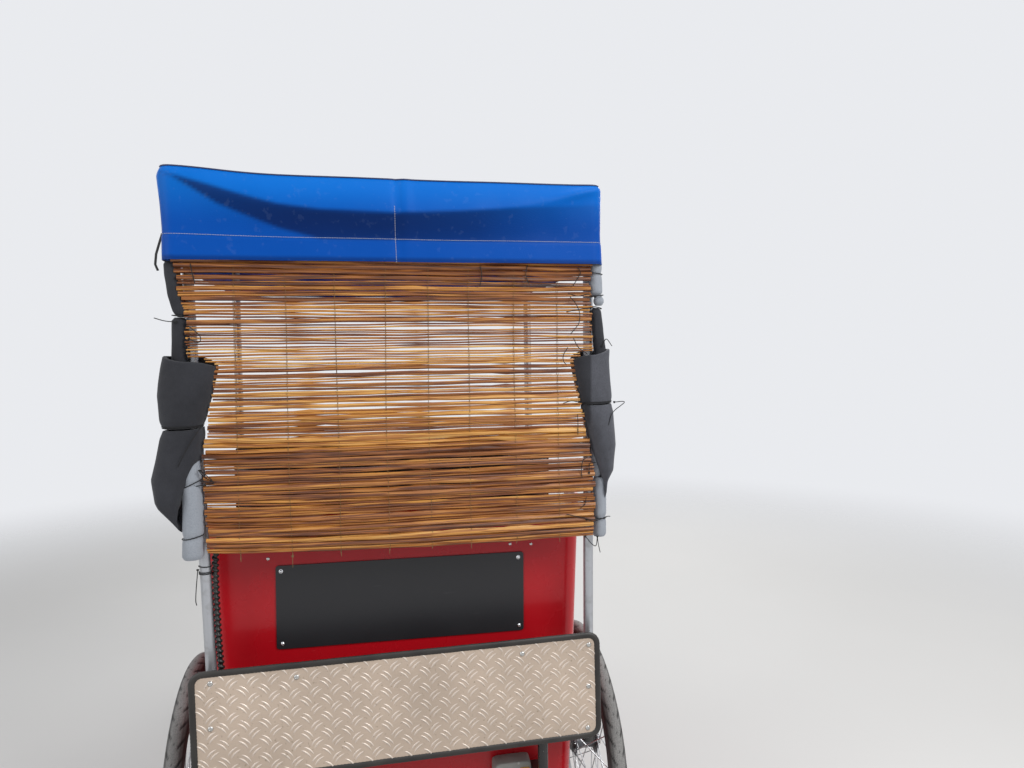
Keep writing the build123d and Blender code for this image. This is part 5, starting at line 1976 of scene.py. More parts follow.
@dataclass
class TreadPanel:
    """The tread plate's raised bars, its edge strip and its screws."""

    repeater: Repeater
    width: float = 0.937
    height: float = 0.260
    edge: float = 0.015
    corner: float = 0.030
    centre: Point = (AXLE_X - 0.345, 0.0, 0.655)
    tilt: float = -0.6
    pitch: float = 0.0445
    rise: float = 0.0388
    bar: float = 0.0142
    apart: float = 0.0092
    lean: float = 42.0
    thick: float = 0.0048
    # columns: Y, Z from the plate's middle, in its own plane, to the left and up
    screws: Sequence[tuple[float, float]] = (
        (0.4225, 0.102),
        (0.2405, 0.0965),
        (0.4254, 0.0015),
        (-0.4406, 0.1),
        (-0.2757, 0.095),
        (-0.438, -0.0016),
        (-0.434, -0.104),
        (0.425, -0.104),
    )

    def spot(self, left: float, up: float, out: float) -> Vector:
        """Gives a point from its place on the plate's face.

        Args:
            left: Distance to the left of the plate's middle.
            up: Distance above it.
            out: How far the point stands off the face.

        Returns:
            The point.
        """
        turn = math.radians(self.tilt)
        y = self.centre[1] + left * math.cos(turn) - up * math.sin(turn)
        z = self.centre[2] + up * math.cos(turn) + left * math.sin(turn)
        return Vector((self.centre[0] - 0.003 - out, y, z))

    def build(self) -> None:
        """Builds the bars, strip and screws."""
        bar = Former()
        rows = []
        for i in range(9):
            t = -1 + i / 4
            bend = 0.0022 * (1 - t * t)
            wide = 0.0024 * math.sqrt(max(0.02, 1 - t * t))
            tall = 0.0014 * math.sqrt(max(0.03, 1 - t * t))
            arch = ((0.0002, -1), (-tall * 0.75, -0.55), (-tall, 0), (-tall * 0.75, 0.55), (0.0002, 1))
            rows.append([Vector((x, t * self.bar, bend + wide * z)) for x, z in arch])
        bar.grid(rows)
        places = []
        columns = int(self.width / self.pitch) + 2
        lines = int(self.height / self.rise) + 2
        inset = self.edge - 0.003
        for row in range(-lines, lines + 1):
            for col in range(-columns, columns + 1):
                for lean, shift in ((1, 0.0), (-1, 0.5)):
                    for pair in (-0.5, 0.5):
                        angle = lean * math.radians(self.lean)
                        y = (col + shift) * self.pitch - pair * self.apart * math.sin(angle)
                        z = (row + shift) * self.rise + pair * self.apart * math.cos(angle)
                        over_y = abs(y) - self.width / 2 + inset
                        over_z = abs(z) - self.height / 2 + inset
                        if max(over_y, over_z) > 0 or over_y + over_z > -0.022:
                            continue
                        turn = angle + math.radians(self.tilt)
                        places.append(Place(self.spot(y, z, -0.0001), (turn, 0.0, 0.0)))
        self.repeater.fix("tread_bars", bar, places, BARS, smooth=70)
        self.strip()
        screw = Former()
        head = [(0.0, 0.0062), (0.0012, 0.006), (0.0024, 0.0042), (0.0027, 0.0025)]
        head += [(0.0018, 0.0022), (0.0016, 0.0001)]
        screw.lathe(head, (0, 0, 0), axis=(-1, 0, 0), sides=14)
        places = [Place(self.spot(y, z, 0.0)) for y, z in self.screws]
        self.repeater.fix("tread_screws", screw, places, STEEL, smooth=50)

    def strip(self) -> None:
        """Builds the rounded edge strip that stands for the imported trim."""
        section = [(self.edge / 2 * cos, self.thick * sin) for cos, sin in circle(14)]
        half_w, half_h = (side / 2 - self.edge / 2 for side in (self.width, self.height))
        radius = self.corner - self.edge / 2
        path = []
        for cx, cz, start in (
            (half_w - radius, half_h - radius, 0.0),
            (-half_w + radius, half_h - radius, 0.5),
            (-half_w + radius, -half_h + radius, 1.0),
            (half_w - radius, -half_h + radius, 1.5),
        ):
            for k in range(9):
                angle = math.pi * (start + k / 16)
                path.append((cx + radius * math.cos(angle), cz + radius * math.sin(angle), angle))
        full = []
        for a, b in zip(path, path[1:] + path[:1]):
            full.append(a)
            gap = math.hypot(b[0] - a[0], b[1] - a[1])
            turn = (b[2] - a[2]) % (2 * math.pi)
            for k in range(1, int(gap / 0.004)):
                t = k * 0.004 / gap
                full.append((a[0] + (b[0] - a[0]) * t, a[1] + (b[1] - a[1]) * t, a[2] + turn * t))
        rows = []
        for left, up, angle in full:
            wave = 0.0005 * noise.noise(Vector((left * 20, up * 20, 3.0)))
            wave += 0.0005 if len(rows) % 2 else 0.0
            cos, sin = math.cos(angle), math.sin(angle)
            rows.append(
                [
                    self.spot(left + cos * (out + wave), up + sin * (out + wave), deep - 0.0015)
                    for out, deep in section
                ]
            )
        form = Former()
        form.grid(rows, around=True, loop=True)
        dress(form.loose("edge_strip"), EDGING, stands_for=("plate_trim",), smooth=60)


@dataclass
class SignPanel:
    """The bare sign board's four screws."""

    repeater: Repeater
    centre: Point = (AXLE_X - 0.232, -0.005, 0.868)
    tilt: float = 0.5

    def build(self) -> None:
        """Builds the screws on their washers."""
        screw = Former()
        washer = [(-0.0002, 0.0068), (0.0009, 0.0066), (0.0012, 0.0052)]
        head = [(0.0014, 0.0046), (0.003, 0.0036), (0.0034, 0.002), (0.0022, 0.0018), (0.0021, 0.0001)]
        screw.lathe(washer + head, (0, 0, 0), axis=(-1, 0, 0), sides=16)
        places = []
        for y in (-0.287, 0.287):
            for z in (-0.087, 0.087):
                rise = y * math.tan(math.radians(self.tilt))
                spot = Vector(self.centre) + Vector((0, y, z + rise))
                places.append(Place(spot, size=(0.8, 0.75, 0.75)))
        self.repeater.fix("sign_screws", screw, places, CHROME, smooth=50)


@dataclass
class TailLamps:
    """Two rear lamps: grey housings with a red and an amber lens."""

    repeater: Repeater
    wall: float = AXLE_X - 0.229
    height: float = 0.409
    offset: float = 0.265
    wide: float = 0.096
    tall: float = 0.08
    # columns: distance from the wall, share of the full size
    housing: Sequence[tuple[float, float]] = ((0.0, 1.0), (0.004, 1.0), (0.037, 0.95), (0.040, 0.91))
    lens: Sequence[tuple[float, float]] = ((0.030, 1.0), (0.041, 1.0), (0.0445, 0.95), (0.0462, 0.84))
    # place of the screws above and below the middle, and their size
    screws: float = 0.03503
    screw_size: float = 0.62

    def build(self) -> None:
        """Builds housings, lenses and screws."""
        shells, red, amber = Former(), Former(), Former()
        screws = []
        for side in (1, -1):
            middle = side * self.offset
            self.loft(shells, middle, self.wide, self.tall, self.housing)
            for form, low, high in ((red, -0.44, 0.13), (amber, 0.15, 0.44)):
                centre = middle + side * (low + high) / 2 * self.wide
                width = (high - low) * self.wide
                self.loft(form, centre, width, self.tall * 0.74, self.lens, -0.0065)
            for z in (-self.screws, self.screws):
                y = middle + side * 0.14 * self.wide
                spot = Vector((self.wall - 0.0402, y, self.height + z))
                screws.append(Place(spot, size=(self.screw_size,) * 3))
        dress(shells.loose("lamp_housings"), PLASTIC_GREY, stands_for=("tail_lamps",), bevel=0.0012)
        dress(red.loose("lamp_lens_red"), LENS_RED, bevel=0.0008)
        dress(amber.loose("lamp_lens_amber"), LENS_AMBER, bevel=0.0008)
        head = Former()
        profile = [(0, 0.005), (0.0015, 0.0048), (0.0025, 0.003), (0.0016, 0.002), (0.0015, 0.0001)]
        head.lathe(profile, (0, 0, 0), (-1, 0, 0), 12)
        self.repeater.fix("lamp_screws", head, screws, STEEL)

    def loft(
        self,
        form: Former,
        middle: float,
        wide: float,
        tall: float,
        steps: Sequence[tuple[float, float]],
        drop: float = 0.0,
    ) -> None:
        """Adds a rounded box that grows out of the tub's wall.

        Args:
            form: Where it is added.
            middle: Y of its middle.
            wide: Its width at the wall.
            tall: Its height at the wall.
            steps: Pairs of distance from the wall and share of the full size.
            drop: How far above the lamp's middle it sits.
        """
        count = 36
        rows = []
        for depth, share in steps:
            row = []
            for cos, sin in circle(count):
                y = wide / 2 * share * signed_power(cos, 0.25)
                z = tall / 2 * share * signed_power(sin, 0.25)
                row.append(Vector((self.wall - depth, middle + y, self.height + drop + z)))
            rows.append(row)
        base = len(form.points)
        form.grid(rows, around=True)
        form.cap(base, count)
        form.cap(base + (len(steps) - 1) * count, count)


@dataclass
class Tyres:
    """Three tyres with a siped tread, and the wheels' finishes, nipples and valves."""

    repeater: Repeater
    radius: float = 0.335
    shoulder: float = 0.0208
    rim: float = 0.273
    spokes: int = 36
    sipes: int = 48
    segments: int = 432
    # how deep the ribs' grooves, the sipes and the dots in the middle are
    groove: float = 0.0009
    sipe: float = 0.0016
    dot: float = 0.0014
    # distances of the nipples and the valve's foot from the axle, and the spokes' lean
    nipples: float = 0.2605
    valve: float = 0.23
    lean: float = 56.0

    def build(self, nodes: dict[str, bpy.types.Object]) -> None:
        """Builds the tyres and what is small on the wheels, and dresses the wheels."""
        wheels = (
            ("front", FRONT_X, 0.0, Body.FRONT_WHEEL, TYRE_FRONT, WHEEL_FRONT, 0.024, 0.034),
            ("rear_left", AXLE_X, 0.529, Body.LEFT_WHEEL, TYRE_REAR, WHEEL_REAR, 0.032, 0.042),
            ("rear_right", AXLE_X, -0.529, Body.RIGHT_WHEEL, TYRE_REAR, WHEEL_REAR, 0.032, 0.042),
        )
        for name, x, y, body, rubber, metal, flange, hub in wheels:
            self.tyre(name, x, y, body, rubber)
            self.small(name, Vector((x, y, AXLE_Z)), body, flange, hub)
            cover(nodes[f"{name}_wheel"], metal)

    def section(self) -> list[tuple[float, float, float]]:
        """Lists the tyre's section.

        Returns:
            Rows of distance from the middle, distance from the axle and place across.
        """
        profile = [(-0.0155, self.rim, -2.0), (-0.0165, self.rim + 0.014, -2.0)]
        for i in range(29):
            t = -1 + i / 14
            angle = t * math.radians(118)
            wide = self.shoulder * math.sin(angle) / math.sin(math.radians(100))
            reach = self.radius - 0.0235 + 0.0235 * math.cos(angle)
            profile.append((max(-self.shoulder, min(self.shoulder, wide)), reach, t))
        return profile + [(-wide, reach, 2.0) for wide, reach, _ in profile[1::-1]]

    def cut(self, place: float, segment: int) -> float:
        """Gives how deep the tread is cut.

        Args:
            place: Where across the tread, from -1 to 1.
            segment: Where round it.

        Returns:
            The depth.
        """
        across = abs(place)
        if across > 0.62:
            return 0.0
        deep = 0.0
        step = self.segments // self.sipes
        if across > 0.12:
            deep += self.groove * ease(math.cos(across * math.pi * 5.2), 0.55, 1.0)
        turn = (segment / step + across * 1.5 + (0.5 if place > 0 else 0.0)) % 1.0
        if across > 0.17:
            deep += self.sipe * (1 - ease(abs(turn - 0.5), 0.05, 0.13))
        if across < 0.04 and segment % step == 0:
            deep += self.dot
        return deep

    def tyre(self, name: str, x: float, y: float, body: Body, rubber: Finish) -> None:
        """Builds one tyre as a ring whose tread is cut by ribs, sipes and dots.

        Args:
            name: The wheel's name.
            x: The axle's X.
            y: The middle's Y.
            body: Its body.
            rubber: Its finish.
        """
        section = self.section()
        rows = []
        for k, (cos, sin) in enumerate(circle(self.segments)):
            row = []
            for wide, reach, place in section:
                r = reach - self.cut(place, k)
                row.append(Vector((x + r * cos, y + wide, AXLE_Z + r * sin)))
            rows.append(row)
        form = Former()
        form.grid(rows, around=True, loop=True)
        piece = form.loose(f"tyre_{name}")
        # the cuts' depths, which the rubber darkens as painted shade
        depths = [self.cut(place, k) / 0.0018 for k in range(self.segments) for _, _, place in section]
        store(piece, "groove", depths)
        dress(piece, rubber, body, stands_for=(f"{name}_tyre",), smooth=60)

    def small(self, name: str, hub: Vector, body: Body, flange: float, half: float) -> None:
        """Adds the spokes' nipples and heads and the valve of one wheel.

        Args:
            name: The wheel's name.
            hub: The wheel's middle.
            body: Its body.
            flange: Distance of the spoke heads from the hub's middle line.
            half: Half the hub's length.
        """
        nipple = Former()
        profile = [(-0.011, 0.0001), (-0.011, 0.0017), (-0.003, 0.002)]
        profile += [(-0.002, 0.0032), (0.002, 0.0034), (0.002, 0.0001)]
        nipple.lathe(profile, (0, 0, 0), axis=(1, 0, 0), sides=8)
        places = []
        for i in range(self.spokes):
            turn = 2 * math.pi * i / self.spokes
            out = spoke(turn)
            places.append(Place(hub + out * self.nipples, (0.0, -turn, 0.0)))
            side = 1 if i % 2 else -1
            lean = turn + (1 if (i // 2) % 2 else -1) * math.radians(self.lean)
            head = Vector((math.cos(lean) * flange, side * (half - 0.007), math.sin(lean) * flange))
            places.append(Place(hub + head, (0, 0, side * 1.5708), (0.6, 0.8, 0.8)))
        self.repeater.fix(f"nipples_{name}", nipple, places, CHROME, body, smooth=50)
        valve = Former()
        turn = math.radians(95.0)
        out = spoke(turn)
        stem = [(0.0, 0.0001), (0.0, 0.0028), (0.011, 0.0028), (0.012, 0.004)]
        stem += [(0.026, 0.004), (0.028, 0.0052), (0.03, 0.0052)]
        valve.lathe(stem, tuple(hub + out * self.valve), axis=tuple(out), sides=12)
        dress(valve.loose(f"valve_{name}"), RUBBER, body)


def cover(node: bpy.types.Object, finish: Finish) -> None:
    """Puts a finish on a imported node.

    Args:
        node: The node's object.
        finish: Its finish.
    """
    for slot in node.material_slots:
        slot.material = finish.material()
    if not node.material_slots:
        node.data.materials.append(finish.material())


@dataclass
class DriveChain:
    """The roller chain: inner and outer links in turn, round both sprockets."""

    repeater: Repeater
    front: Point = (0.2645, -0.045, 0.290)
    back: Point = (AXLE_X, -0.045, AXLE_Z)
    pitch: float = 0.0127
    front_teeth: int = 46
    back_teeth: int = 22
    # half heights of a link at its pins and between them
    eye: float = 0.0041
    waist: float = 0.003

    def pins(self) -> list[Vector]:
        """Lists the pins' places on the closed loop."""
        teeth = (self.front_teeth, self.back_teeth)
        ring, cog = (self.pitch / (2 * math.sin(math.pi / count)) for count in teeth)
        start, end = Vector(self.back), Vector(self.front)
        span = (end - start).length
        lean = math.atan2(end.z - start.z, end.x - start.x)
        spread = math.atan2((ring - cog) / span, 1.0)
        straight = math.sqrt(span**2 - (ring - cog) ** 2)
        arcs = (ring * (math.pi + 2 * spread), cog * (math.pi - 2 * spread))
        total = 2 * straight + sum(arcs)
        count = round(total / self.pitch)
        spots = []
        for i in range(count):
            run = i * total / count
            if run < straight:
                share, angle = run / straight, lean + math.pi / 2 + spread
            elif run < straight + arcs[0]:
                share, angle = 1.0, lean + math.pi / 2 + spread - (run - straight) / ring
            elif run < 2 * straight + arcs[0]:
                share, angle = 1 - (run - straight - arcs[0]) / straight, lean - math.pi / 2 - spread
            else:
                share, angle = 0.0, lean - math.pi / 2 - spread - (run - 2 * straight - arcs[0]) / cog
            radius = cog + (ring - cog) * share
            spots.append(start.lerp(end, share) + spoke(angle) * radius)
        return spots

    def build(self) -> None:
        """Builds the links."""
        spots = self.pins()
        for kind, first in (("inner", 0), ("outer", 1)):
            places = []
            for i in range(first, len(spots), 2):
                run = spots[(i + 1) % len(spots)] - spots[i]
                middle = spots[i] + run / 2
                size = run.length / self.pitch
                turn = (0.0, -math.atan2(run.z, run.x), 0.0)
                places.append(Place(middle, turn, (size, 1.0, 1.0)))
            link = self.link(kind == "outer")
            piece = self.repeater.run(f"chain_{kind}", link, places, OILED, seed=5)
            stands = ("chain",) if first == 0 else ()
            dress(piece, OILED, stands_for=stands, smooth=45)

    def link(self, outer: bool) -> Former:
        """Makes one link with its rollers or pins.

        Args:
            outer: Whether it is an outer link.

        Returns:
            The link, about its own middle.
        """
        form = Former()
        half = self.pitch / 2
        inside, outside = (0.0023, 0.003) if outer else (0.0015, 0.0022)
        outline = []
        for cos, sin in circle(16):
            side = half if cos > 0 else -half
            if abs(cos) > 0.3:
                outline.append((side + self.eye * cos, self.eye * sin))
            else:
                outline.append((side * 0.35, self.waist * sin))
        for side in (1, -1):
            rows = [[Vector((x, side * y, z)) for x, z in outline] for y in (inside, outside)]
            base = len(form.points)
            form.grid(rows, around=True)
            form.cap(base, 16)
            form.cap(base + 16, 16)
        reach, radius = (0.0035, 0.0017) if outer else (0.0015, 0.0037)
        for x in (-half, half):
            profile = [(-reach, 0.0001), (-reach, radius), (reach, radius), (reach, 0.0001)]
            form.lathe(profile, (x, 0, 0), axis=(0, 1, 0), sides=8)
        return form


@dataclass
class FrontEnd:
    """Grips, lever bolts and the headlamp's glass and rim."""

    repeater: Repeater
    # the left grip's outer end and the direction along it
    grip: Point = (0.47489, 0.30434, 1.02526)
    run: Point = (0.97847, -0.16456, 0.12453)
    # the grip's two ends, and one of its ribs: columns of distance along and radius
    outer: Sequence[tuple[float, float]] = (
        (0.0, 0.0001), (0.0, 0.013), (0.002, 0.0165), (0.006, 0.0172), (0.01, 0.016)
    )
    inner: Sequence[tuple[float, float]] = (
        (0.114, 0.0155), (0.116, 0.0195), (0.119, 0.0195), (0.12, 0.0185), (0.12, 0.0112)
    )
    rib: Sequence[tuple[float, float]] = (
        (0.0, 0.0148), (0.0008, 0.0161), (0.0026, 0.0161), (0.0034, 0.0148)
    )
    ribs: int = 24
    pitch: float = 0.0042

    def build(self) -> None:
        """Builds the grips, the bolts and the lamp's glass."""
        grips, bolts = Former(), []
        profile = list(self.outer)
        for k in range(self.ribs):
            along = 0.012 + k * self.pitch
            profile += [(along + step, radius) for step, radius in self.rib]
        profile += self.inner
        for side in (1, -1):
            origin = (self.grip[0], side * self.grip[1], self.grip[2])
            axis = (self.run[0], side * self.run[1], self.run[2])
            grips.lathe(profile, origin, axis, 28)
            middle = Vector(origin) + Vector(axis) * 0.137
            bolts.append(Place(middle + Vector((0.0, side * 0.016, 0.0165))))
        dress(grips.loose("bar_grips"), RUBBER, Body.STEERING, stands_for=("grips",), smooth=50)
        head = Former()
        profile = [(0, 0.0046), (0.0034, 0.0046), (0.0042, 0.0038), (0.0042, 0.0001)]
        head.lathe(profile, (0, 0, 0), sides=6)
        self.repeater.fix("lever_bolts", head, bolts, STEEL, Body.STEERING, smooth=30)
        _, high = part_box("headlamp")
        centre = (high[0] - 0.030, 0.0, high[2] - 0.040)
        glass, rim = Former(), Former()
        dome = [(0.0305 + 0.006 * cos, 0.0335 * sin + 0.0001) for cos, sin in circle(32)[:9]]
        glass.lathe(dome + [(0.029, 0.0335)], centre, (1, 0, 0), 40)
        dress(glass.loose("headlamp_glass"), LENS_CLEAR, Body.STEERING, smooth=60)
        ring = [(0.024 + 0.005 * sin, 0.0365 + 0.0035 * cos) for cos, sin in circle(8)]
        rim.lathe(ring, centre, (1, 0, 0), 48, loop=True)
        dress(rim.loose("headlamp_rim"), CHROME, Body.STEERING)


@dataclass
class PedalFaces:
    """Ribbed treads and amber reflectors on both pedals."""

    repeater: Repeater
    ribs: int = 11

    def build(self) -> None:
        """Builds the ribs and reflectors."""
        for name, body in (("left", Body.LEFT_PEDAL), ("right", Body.RIGHT_PEDAL)):
            low, high = (Vector(p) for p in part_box(f"pedal_{name}"))
            middle = (low + high) / 2
            rib = Former()
            rib.slab((0, 0, 0), (0.016, 0.0022, 0.0024), taper=0.8)
            across = (high.y - low.y) / 2 - 0.008
            places = []
            for x in (-0.032, 0.032):
                for k in range(self.ribs):
                    y = middle.y - across + 0.003 + k * (2 * across - 0.006) / (self.ribs - 1)
                    for z, flip in ((high.z, 0.0), (low.z, math.pi)):
                        places.append(Place(Vector((middle.x + x, y, z)), (flip, 0.0, 0.0)))
            self.repeater.fix(f"pedal_ribs_{name}", rib, places, RUBBER, body, smooth=30)
            lens = Former()
            for x in (-0.0415, 0.0415):
                lens.slab((middle.x + x, middle.y, middle.z), (0.003, 2 * across - 0.012, 0.012))
            dress(lens.loose(f"pedal_reflectors_{name}"), LENS_AMBER, body, bevel=0.0008)


@dataclass
class Hardware:
    """Bolts under the chassis and rivets on the tub."""

    repeater: Repeater
    # Y of the bolts under the axle, and distances ahead of it of the pairs under the floor
    axle_bolts: Sequence[float] = (-0.33, -0.11, 0.11, 0.33)
    floor_bolts: Sequence[float] = (-0.16, 0.16, 0.4, 0.835)
    # Y and height of the three rivets over the sign
    rear_rivets: Sequence[tuple[float, float]] = (
        (0.3108, 0.9884),
        (-0.2722, 0.9863),
        (-0.3264, 0.9828),
    )
    # distances ahead of the axle of the rivets on the tub's sides
    side_rivets: Sequence[float] = (-0.1, 0.1, 0.3, 0.5, 0.7)

    def build(self) -> None:
        """Builds the fixings."""
        bolt = Former()
        head = [(0, 0.0078), (0.005, 0.0078), (0.0062, 0.0066), (0.0062, 0.0001)]
        bolt.lathe(head, (0, 0, 0), sides=6)
        bolt.lathe([(-0.0002, 0.0105), (0.0012, 0.0105), (0.0012, 0.005)], (0, 0, 0), sides=16)
        under = (math.pi, 0.0, 0.0)
        places = []
        for y in self.axle_bolts:
            for x in (-0.043, 0.043):
                places.append(Place(Vector((AXLE_X + x, y, 0.385)), under))
        for x in self.floor_bolts:
            for y in (-0.33, 0.33):
                places.append(Place(Vector((ahead(x), y, 0.395)), under))
        self.repeater.fix("chassis_bolts", bolt, places, STEEL, smooth=30)
        rivet = Former()
        dome = [(-0.0003, 0.0058), (0.0008, 0.0056), (0.0016, 0.0042), (0.002, 0.0022)]
        rivet.lathe(dome + [(0.0012, 0.0016), (0.0012, 0.0001)], (0, 0, 0), (1, 0, 0), 12)
        places = []
        for y, z in self.rear_rivets:
            places.append(Place(Vector((ahead(-0.229), y, z)), (0.0, 0.0, math.pi), (0.7, 0.7, 0.7)))
        for side in (1, -1):
            for x in self.side_rivets:
                spot = Vector((ahead(x), side * 0.4324, 0.433))
                places.append(Place(spot, (0.0, 0.0, side * math.pi / 2)))
            for z in (0.46, 0.482):
                places.append(Place(Vector((ahead(0.4) + 0.0158, side * 0.465, z))))
        self.repeater.fix("tub_rivets", rivet, places, STEEL, smooth=50)


@dataclass
class WrappedCable:
    """The cable in its spiral wrap beside the left rear post."""

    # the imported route, as control points
    route: Sequence[Point] = (
        (AXLE_X - 0.229, 0.406, 1.066),
        (AXLE_X - 0.266, 0.406, 1.066),
        (AXLE_X - 0.2905, 0.420, 1.040),
        (AXLE_X - 0.290, 0.4102, 0.700),
        (AXLE_X - 0.265, 0.390, 0.674),
        (AXLE_X - 0.229, 0.390, 0.674),
    )
    length: float = 0.484
    radius: float = 0.0065
    pitch: float = 0.0123
    sides: int = 20
    # length of one step along the cable, and how deep the gap between two turns is
    step: float = 0.0011
    gap: float = 0.0034

    def line(self) -> list[tuple[float, ...]]:
        """Reads the centre line from the route's own spline.

        Returns:
            Rows of the distance from the start and the point's X, Y and Z.
        """
        thing = trace("cable_route", "NURBS", [self.route])
        thing.data.resolution_u = 48
        spline = thing.data.splines[0]
        spline.order_u = 3
        spline.use_endpoint_u = True
        thing = settle(thing)
        spots = [corner.co.copy() for corner in thing.data.vertices]
        bpy.data.objects.remove(thing)
        rows = [(0.0, *spots[0])]
        for before, spot in zip(spots, spots[1:]):
            rows.append((rows[-1][0] + (spot - before).length, *spot))
        return rows

    def build(self) -> None:
        """Builds the wrap and its grommets."""
        line = self.line()
        total = line[-1][0]
        count = int(total / self.step)
        form = Former()
        rows = []
        side = Vector((0.0, 1.0, 0.0))
        for i in range(count + 1):
            along = total * i / count
            centre, run = (Vector(read_table(line, a)) for a in (along, min(total, along + 0.001)))
            run = (run - centre).normalized() if i < count else last
            last = run
            first = (side - run * side.dot(run)).normalized()
            second = run.cross(first)
            row = []
            for j, (cos, sin) in enumerate(circle(self.sides)):
                turn = (along / self.pitch + j / self.sides) % 1.0
                lift = ease(abs(turn - 0.5), 0.22, 0.29)
                reach = self.radius + 0.0012 - self.gap * lift
                reach += 0.0003 * math.cos(4 * math.pi * turn)
                row.append(centre + (first * cos + second * sin) * reach)
            rows.append(row)
        form.grid(rows, around=True)
        form.cap(0, self.sides, flip=True)
        form.cap(count * self.sides, self.sides)
        wrap = dress(form.loose("cable_spiral"), WRAP, stands_for=("cable_wrap",), smooth=70)
        ends = Former()
        profile = [(0.0, 0.0062), (0.0, 0.011), (0.003, 0.011)]
        profile += [(0.005, 0.0095), (0.009, 0.0078), (0.01, 0.0066)]
        for spot in (self.route[0], self.route[-1]):
            ends.lathe(profile, spot, (-1, 0, 0), 24)
        bushes = dress(ends.loose("cable_grommets"), RUBBER)
        [tuple(read_table(line, total * i / 160)) for i in range(161)]


@dataclass
class Bench:
    """The seat cushion and backrest, swelled by a cloth simulation."""

    frames: int = 20
    pressure: float = 4.0
    voxel: float = 0.0085
    # how far the piping lies from the cushion's faces, and its radius
    welt: float = 0.014
    cord: float = 0.0032
    # how far a point of a cushion may move
    reach: float = 0.02

    def build(self) -> None:
        """Builds both cushions and the piping round their edges."""
        for name, node, squeeze, axis in (
            ("bench_seat", "seat_cushion", (0.012, 0.012, 0.016), 2),
            ("bench_back", "backrest_cushion", (0.016, 0.014, 0.014), 0),
        ):
            low, high = (Vector(corner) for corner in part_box(node))
            pad = self.cushion(name, node, low, high, Vector(squeeze))
            welt = Former()
            for level in (low[axis] + self.welt, high[axis] - self.welt):
                welt.tube(self.around(pad, low, high, axis, level), self.cord, 8, closed=True)
            dress(welt.loose(f"{name}_piping"), WELT)

    def around(
        self, pad: bpy.types.Object, low: Vector, high: Vector, axis: int, level: float
    ) -> list[Vector]:
        """Runs a closed line round a cushion.

        Args:
            pad: The cushion.
            low: Its node's lowest corner.
            high: Its node's highest corner.
            axis: The axis that the line goes round.
            level: The line's place along that axis.

        Returns:
            Points on the cushion's skin.
        """
        bpy.context.view_layer.update()
        first, second = (i for i in range(3) if i != axis)
        ends = [(low, low), (high, low), (high, high), (low, high)]
        line = []
        for start, end in zip(ends, ends[1:] + ends[:1]):
            for k in range(60):
                spot = Vector((level, level, level))
                for place, i in ((0, first), (1, second)):
                    spot[i] = start[place][i] + (end[place][i] - start[place][i]) * k / 60
                _, near, out, _ = pad.closest_point_on_mesh(spot)
                line.append(near + out * 0.0012)
        return line

    def cushion(
        self, name: str, node: str, low: Vector, high: Vector, squeeze: Vector
    ) -> bpy.types.Object:
        """Builds one cushion.

        Args:
            name: The piece's name.
            node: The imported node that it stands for.
            low: The node's lowest corner.
            high: The node's highest corner.
            squeeze: How much smaller it starts on each axis.

        Returns:
            The cushion.
        """
        middle = (low + high) / 2
        half = (high - low) / 2 - squeeze
        form = Former()
        form.slab(tuple(middle), tuple(half * 2))
        pad = form.loose(name)
        modify(pad, "BEVEL", width=0.024, segments=4)
        modify(pad, "REMESH", mode="VOXEL", voxel_size=self.voxel)
        settle(pad)
        self.swell(pad)
        modify(pad, "SMOOTH", factor=0.5, iterations=6)
        settle(pad)
        self.fit(pad, low, high)
        dress(pad, VINYL, stands_for=(node,), smooth=180)
        return pad

    def swell(self, pad: bpy.types.Object) -> None:
        """Blows the cushion up with the cloth solver.

        Args:
            pad: The cushion.
        """
        rest = corners(pad)
        cloth = pad.modifiers.new("Cloth", "CLOTH")
        cloth.settings.quality = 4
        cloth.settings.mass = 0.3
        cloth.settings.use_pressure = True
        cloth.settings.uniform_pressure_force = self.pressure
        cloth.settings.effector_weights.gravity = 0.0
        cloth.collision_settings.use_collision = False
        cloth.point_cache.frame_start = 1
        cloth.point_cache.frame_end = self.frames
        scene = bpy.context.scene
        for frame in range(1, self.frames + 1):
            scene.frame_set(frame)
        settle(pad)
        scene.frame_set(1)
        step = corners(pad) - rest
        length = np.linalg.norm(step, axis=1, keepdims=True)
        step *= np.minimum(1.0, self.reach / np.maximum(length, 1e-9))
        pad.data.vertices.foreach_set("co", (rest + step).ravel())

    def fit(self, pad: bpy.types.Object, low: Vector, high: Vector) -> None:
        """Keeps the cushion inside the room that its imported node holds.

        Args:
            pad: The cushion.
            low: The node's lowest corner.
            high: The node's highest corner.
        """
        data = np.clip(corners(pad), np.array(low) - 0.001, np.array(high) + 0.001)
        pad.data.vertices.foreach_set("co", data.ravel())


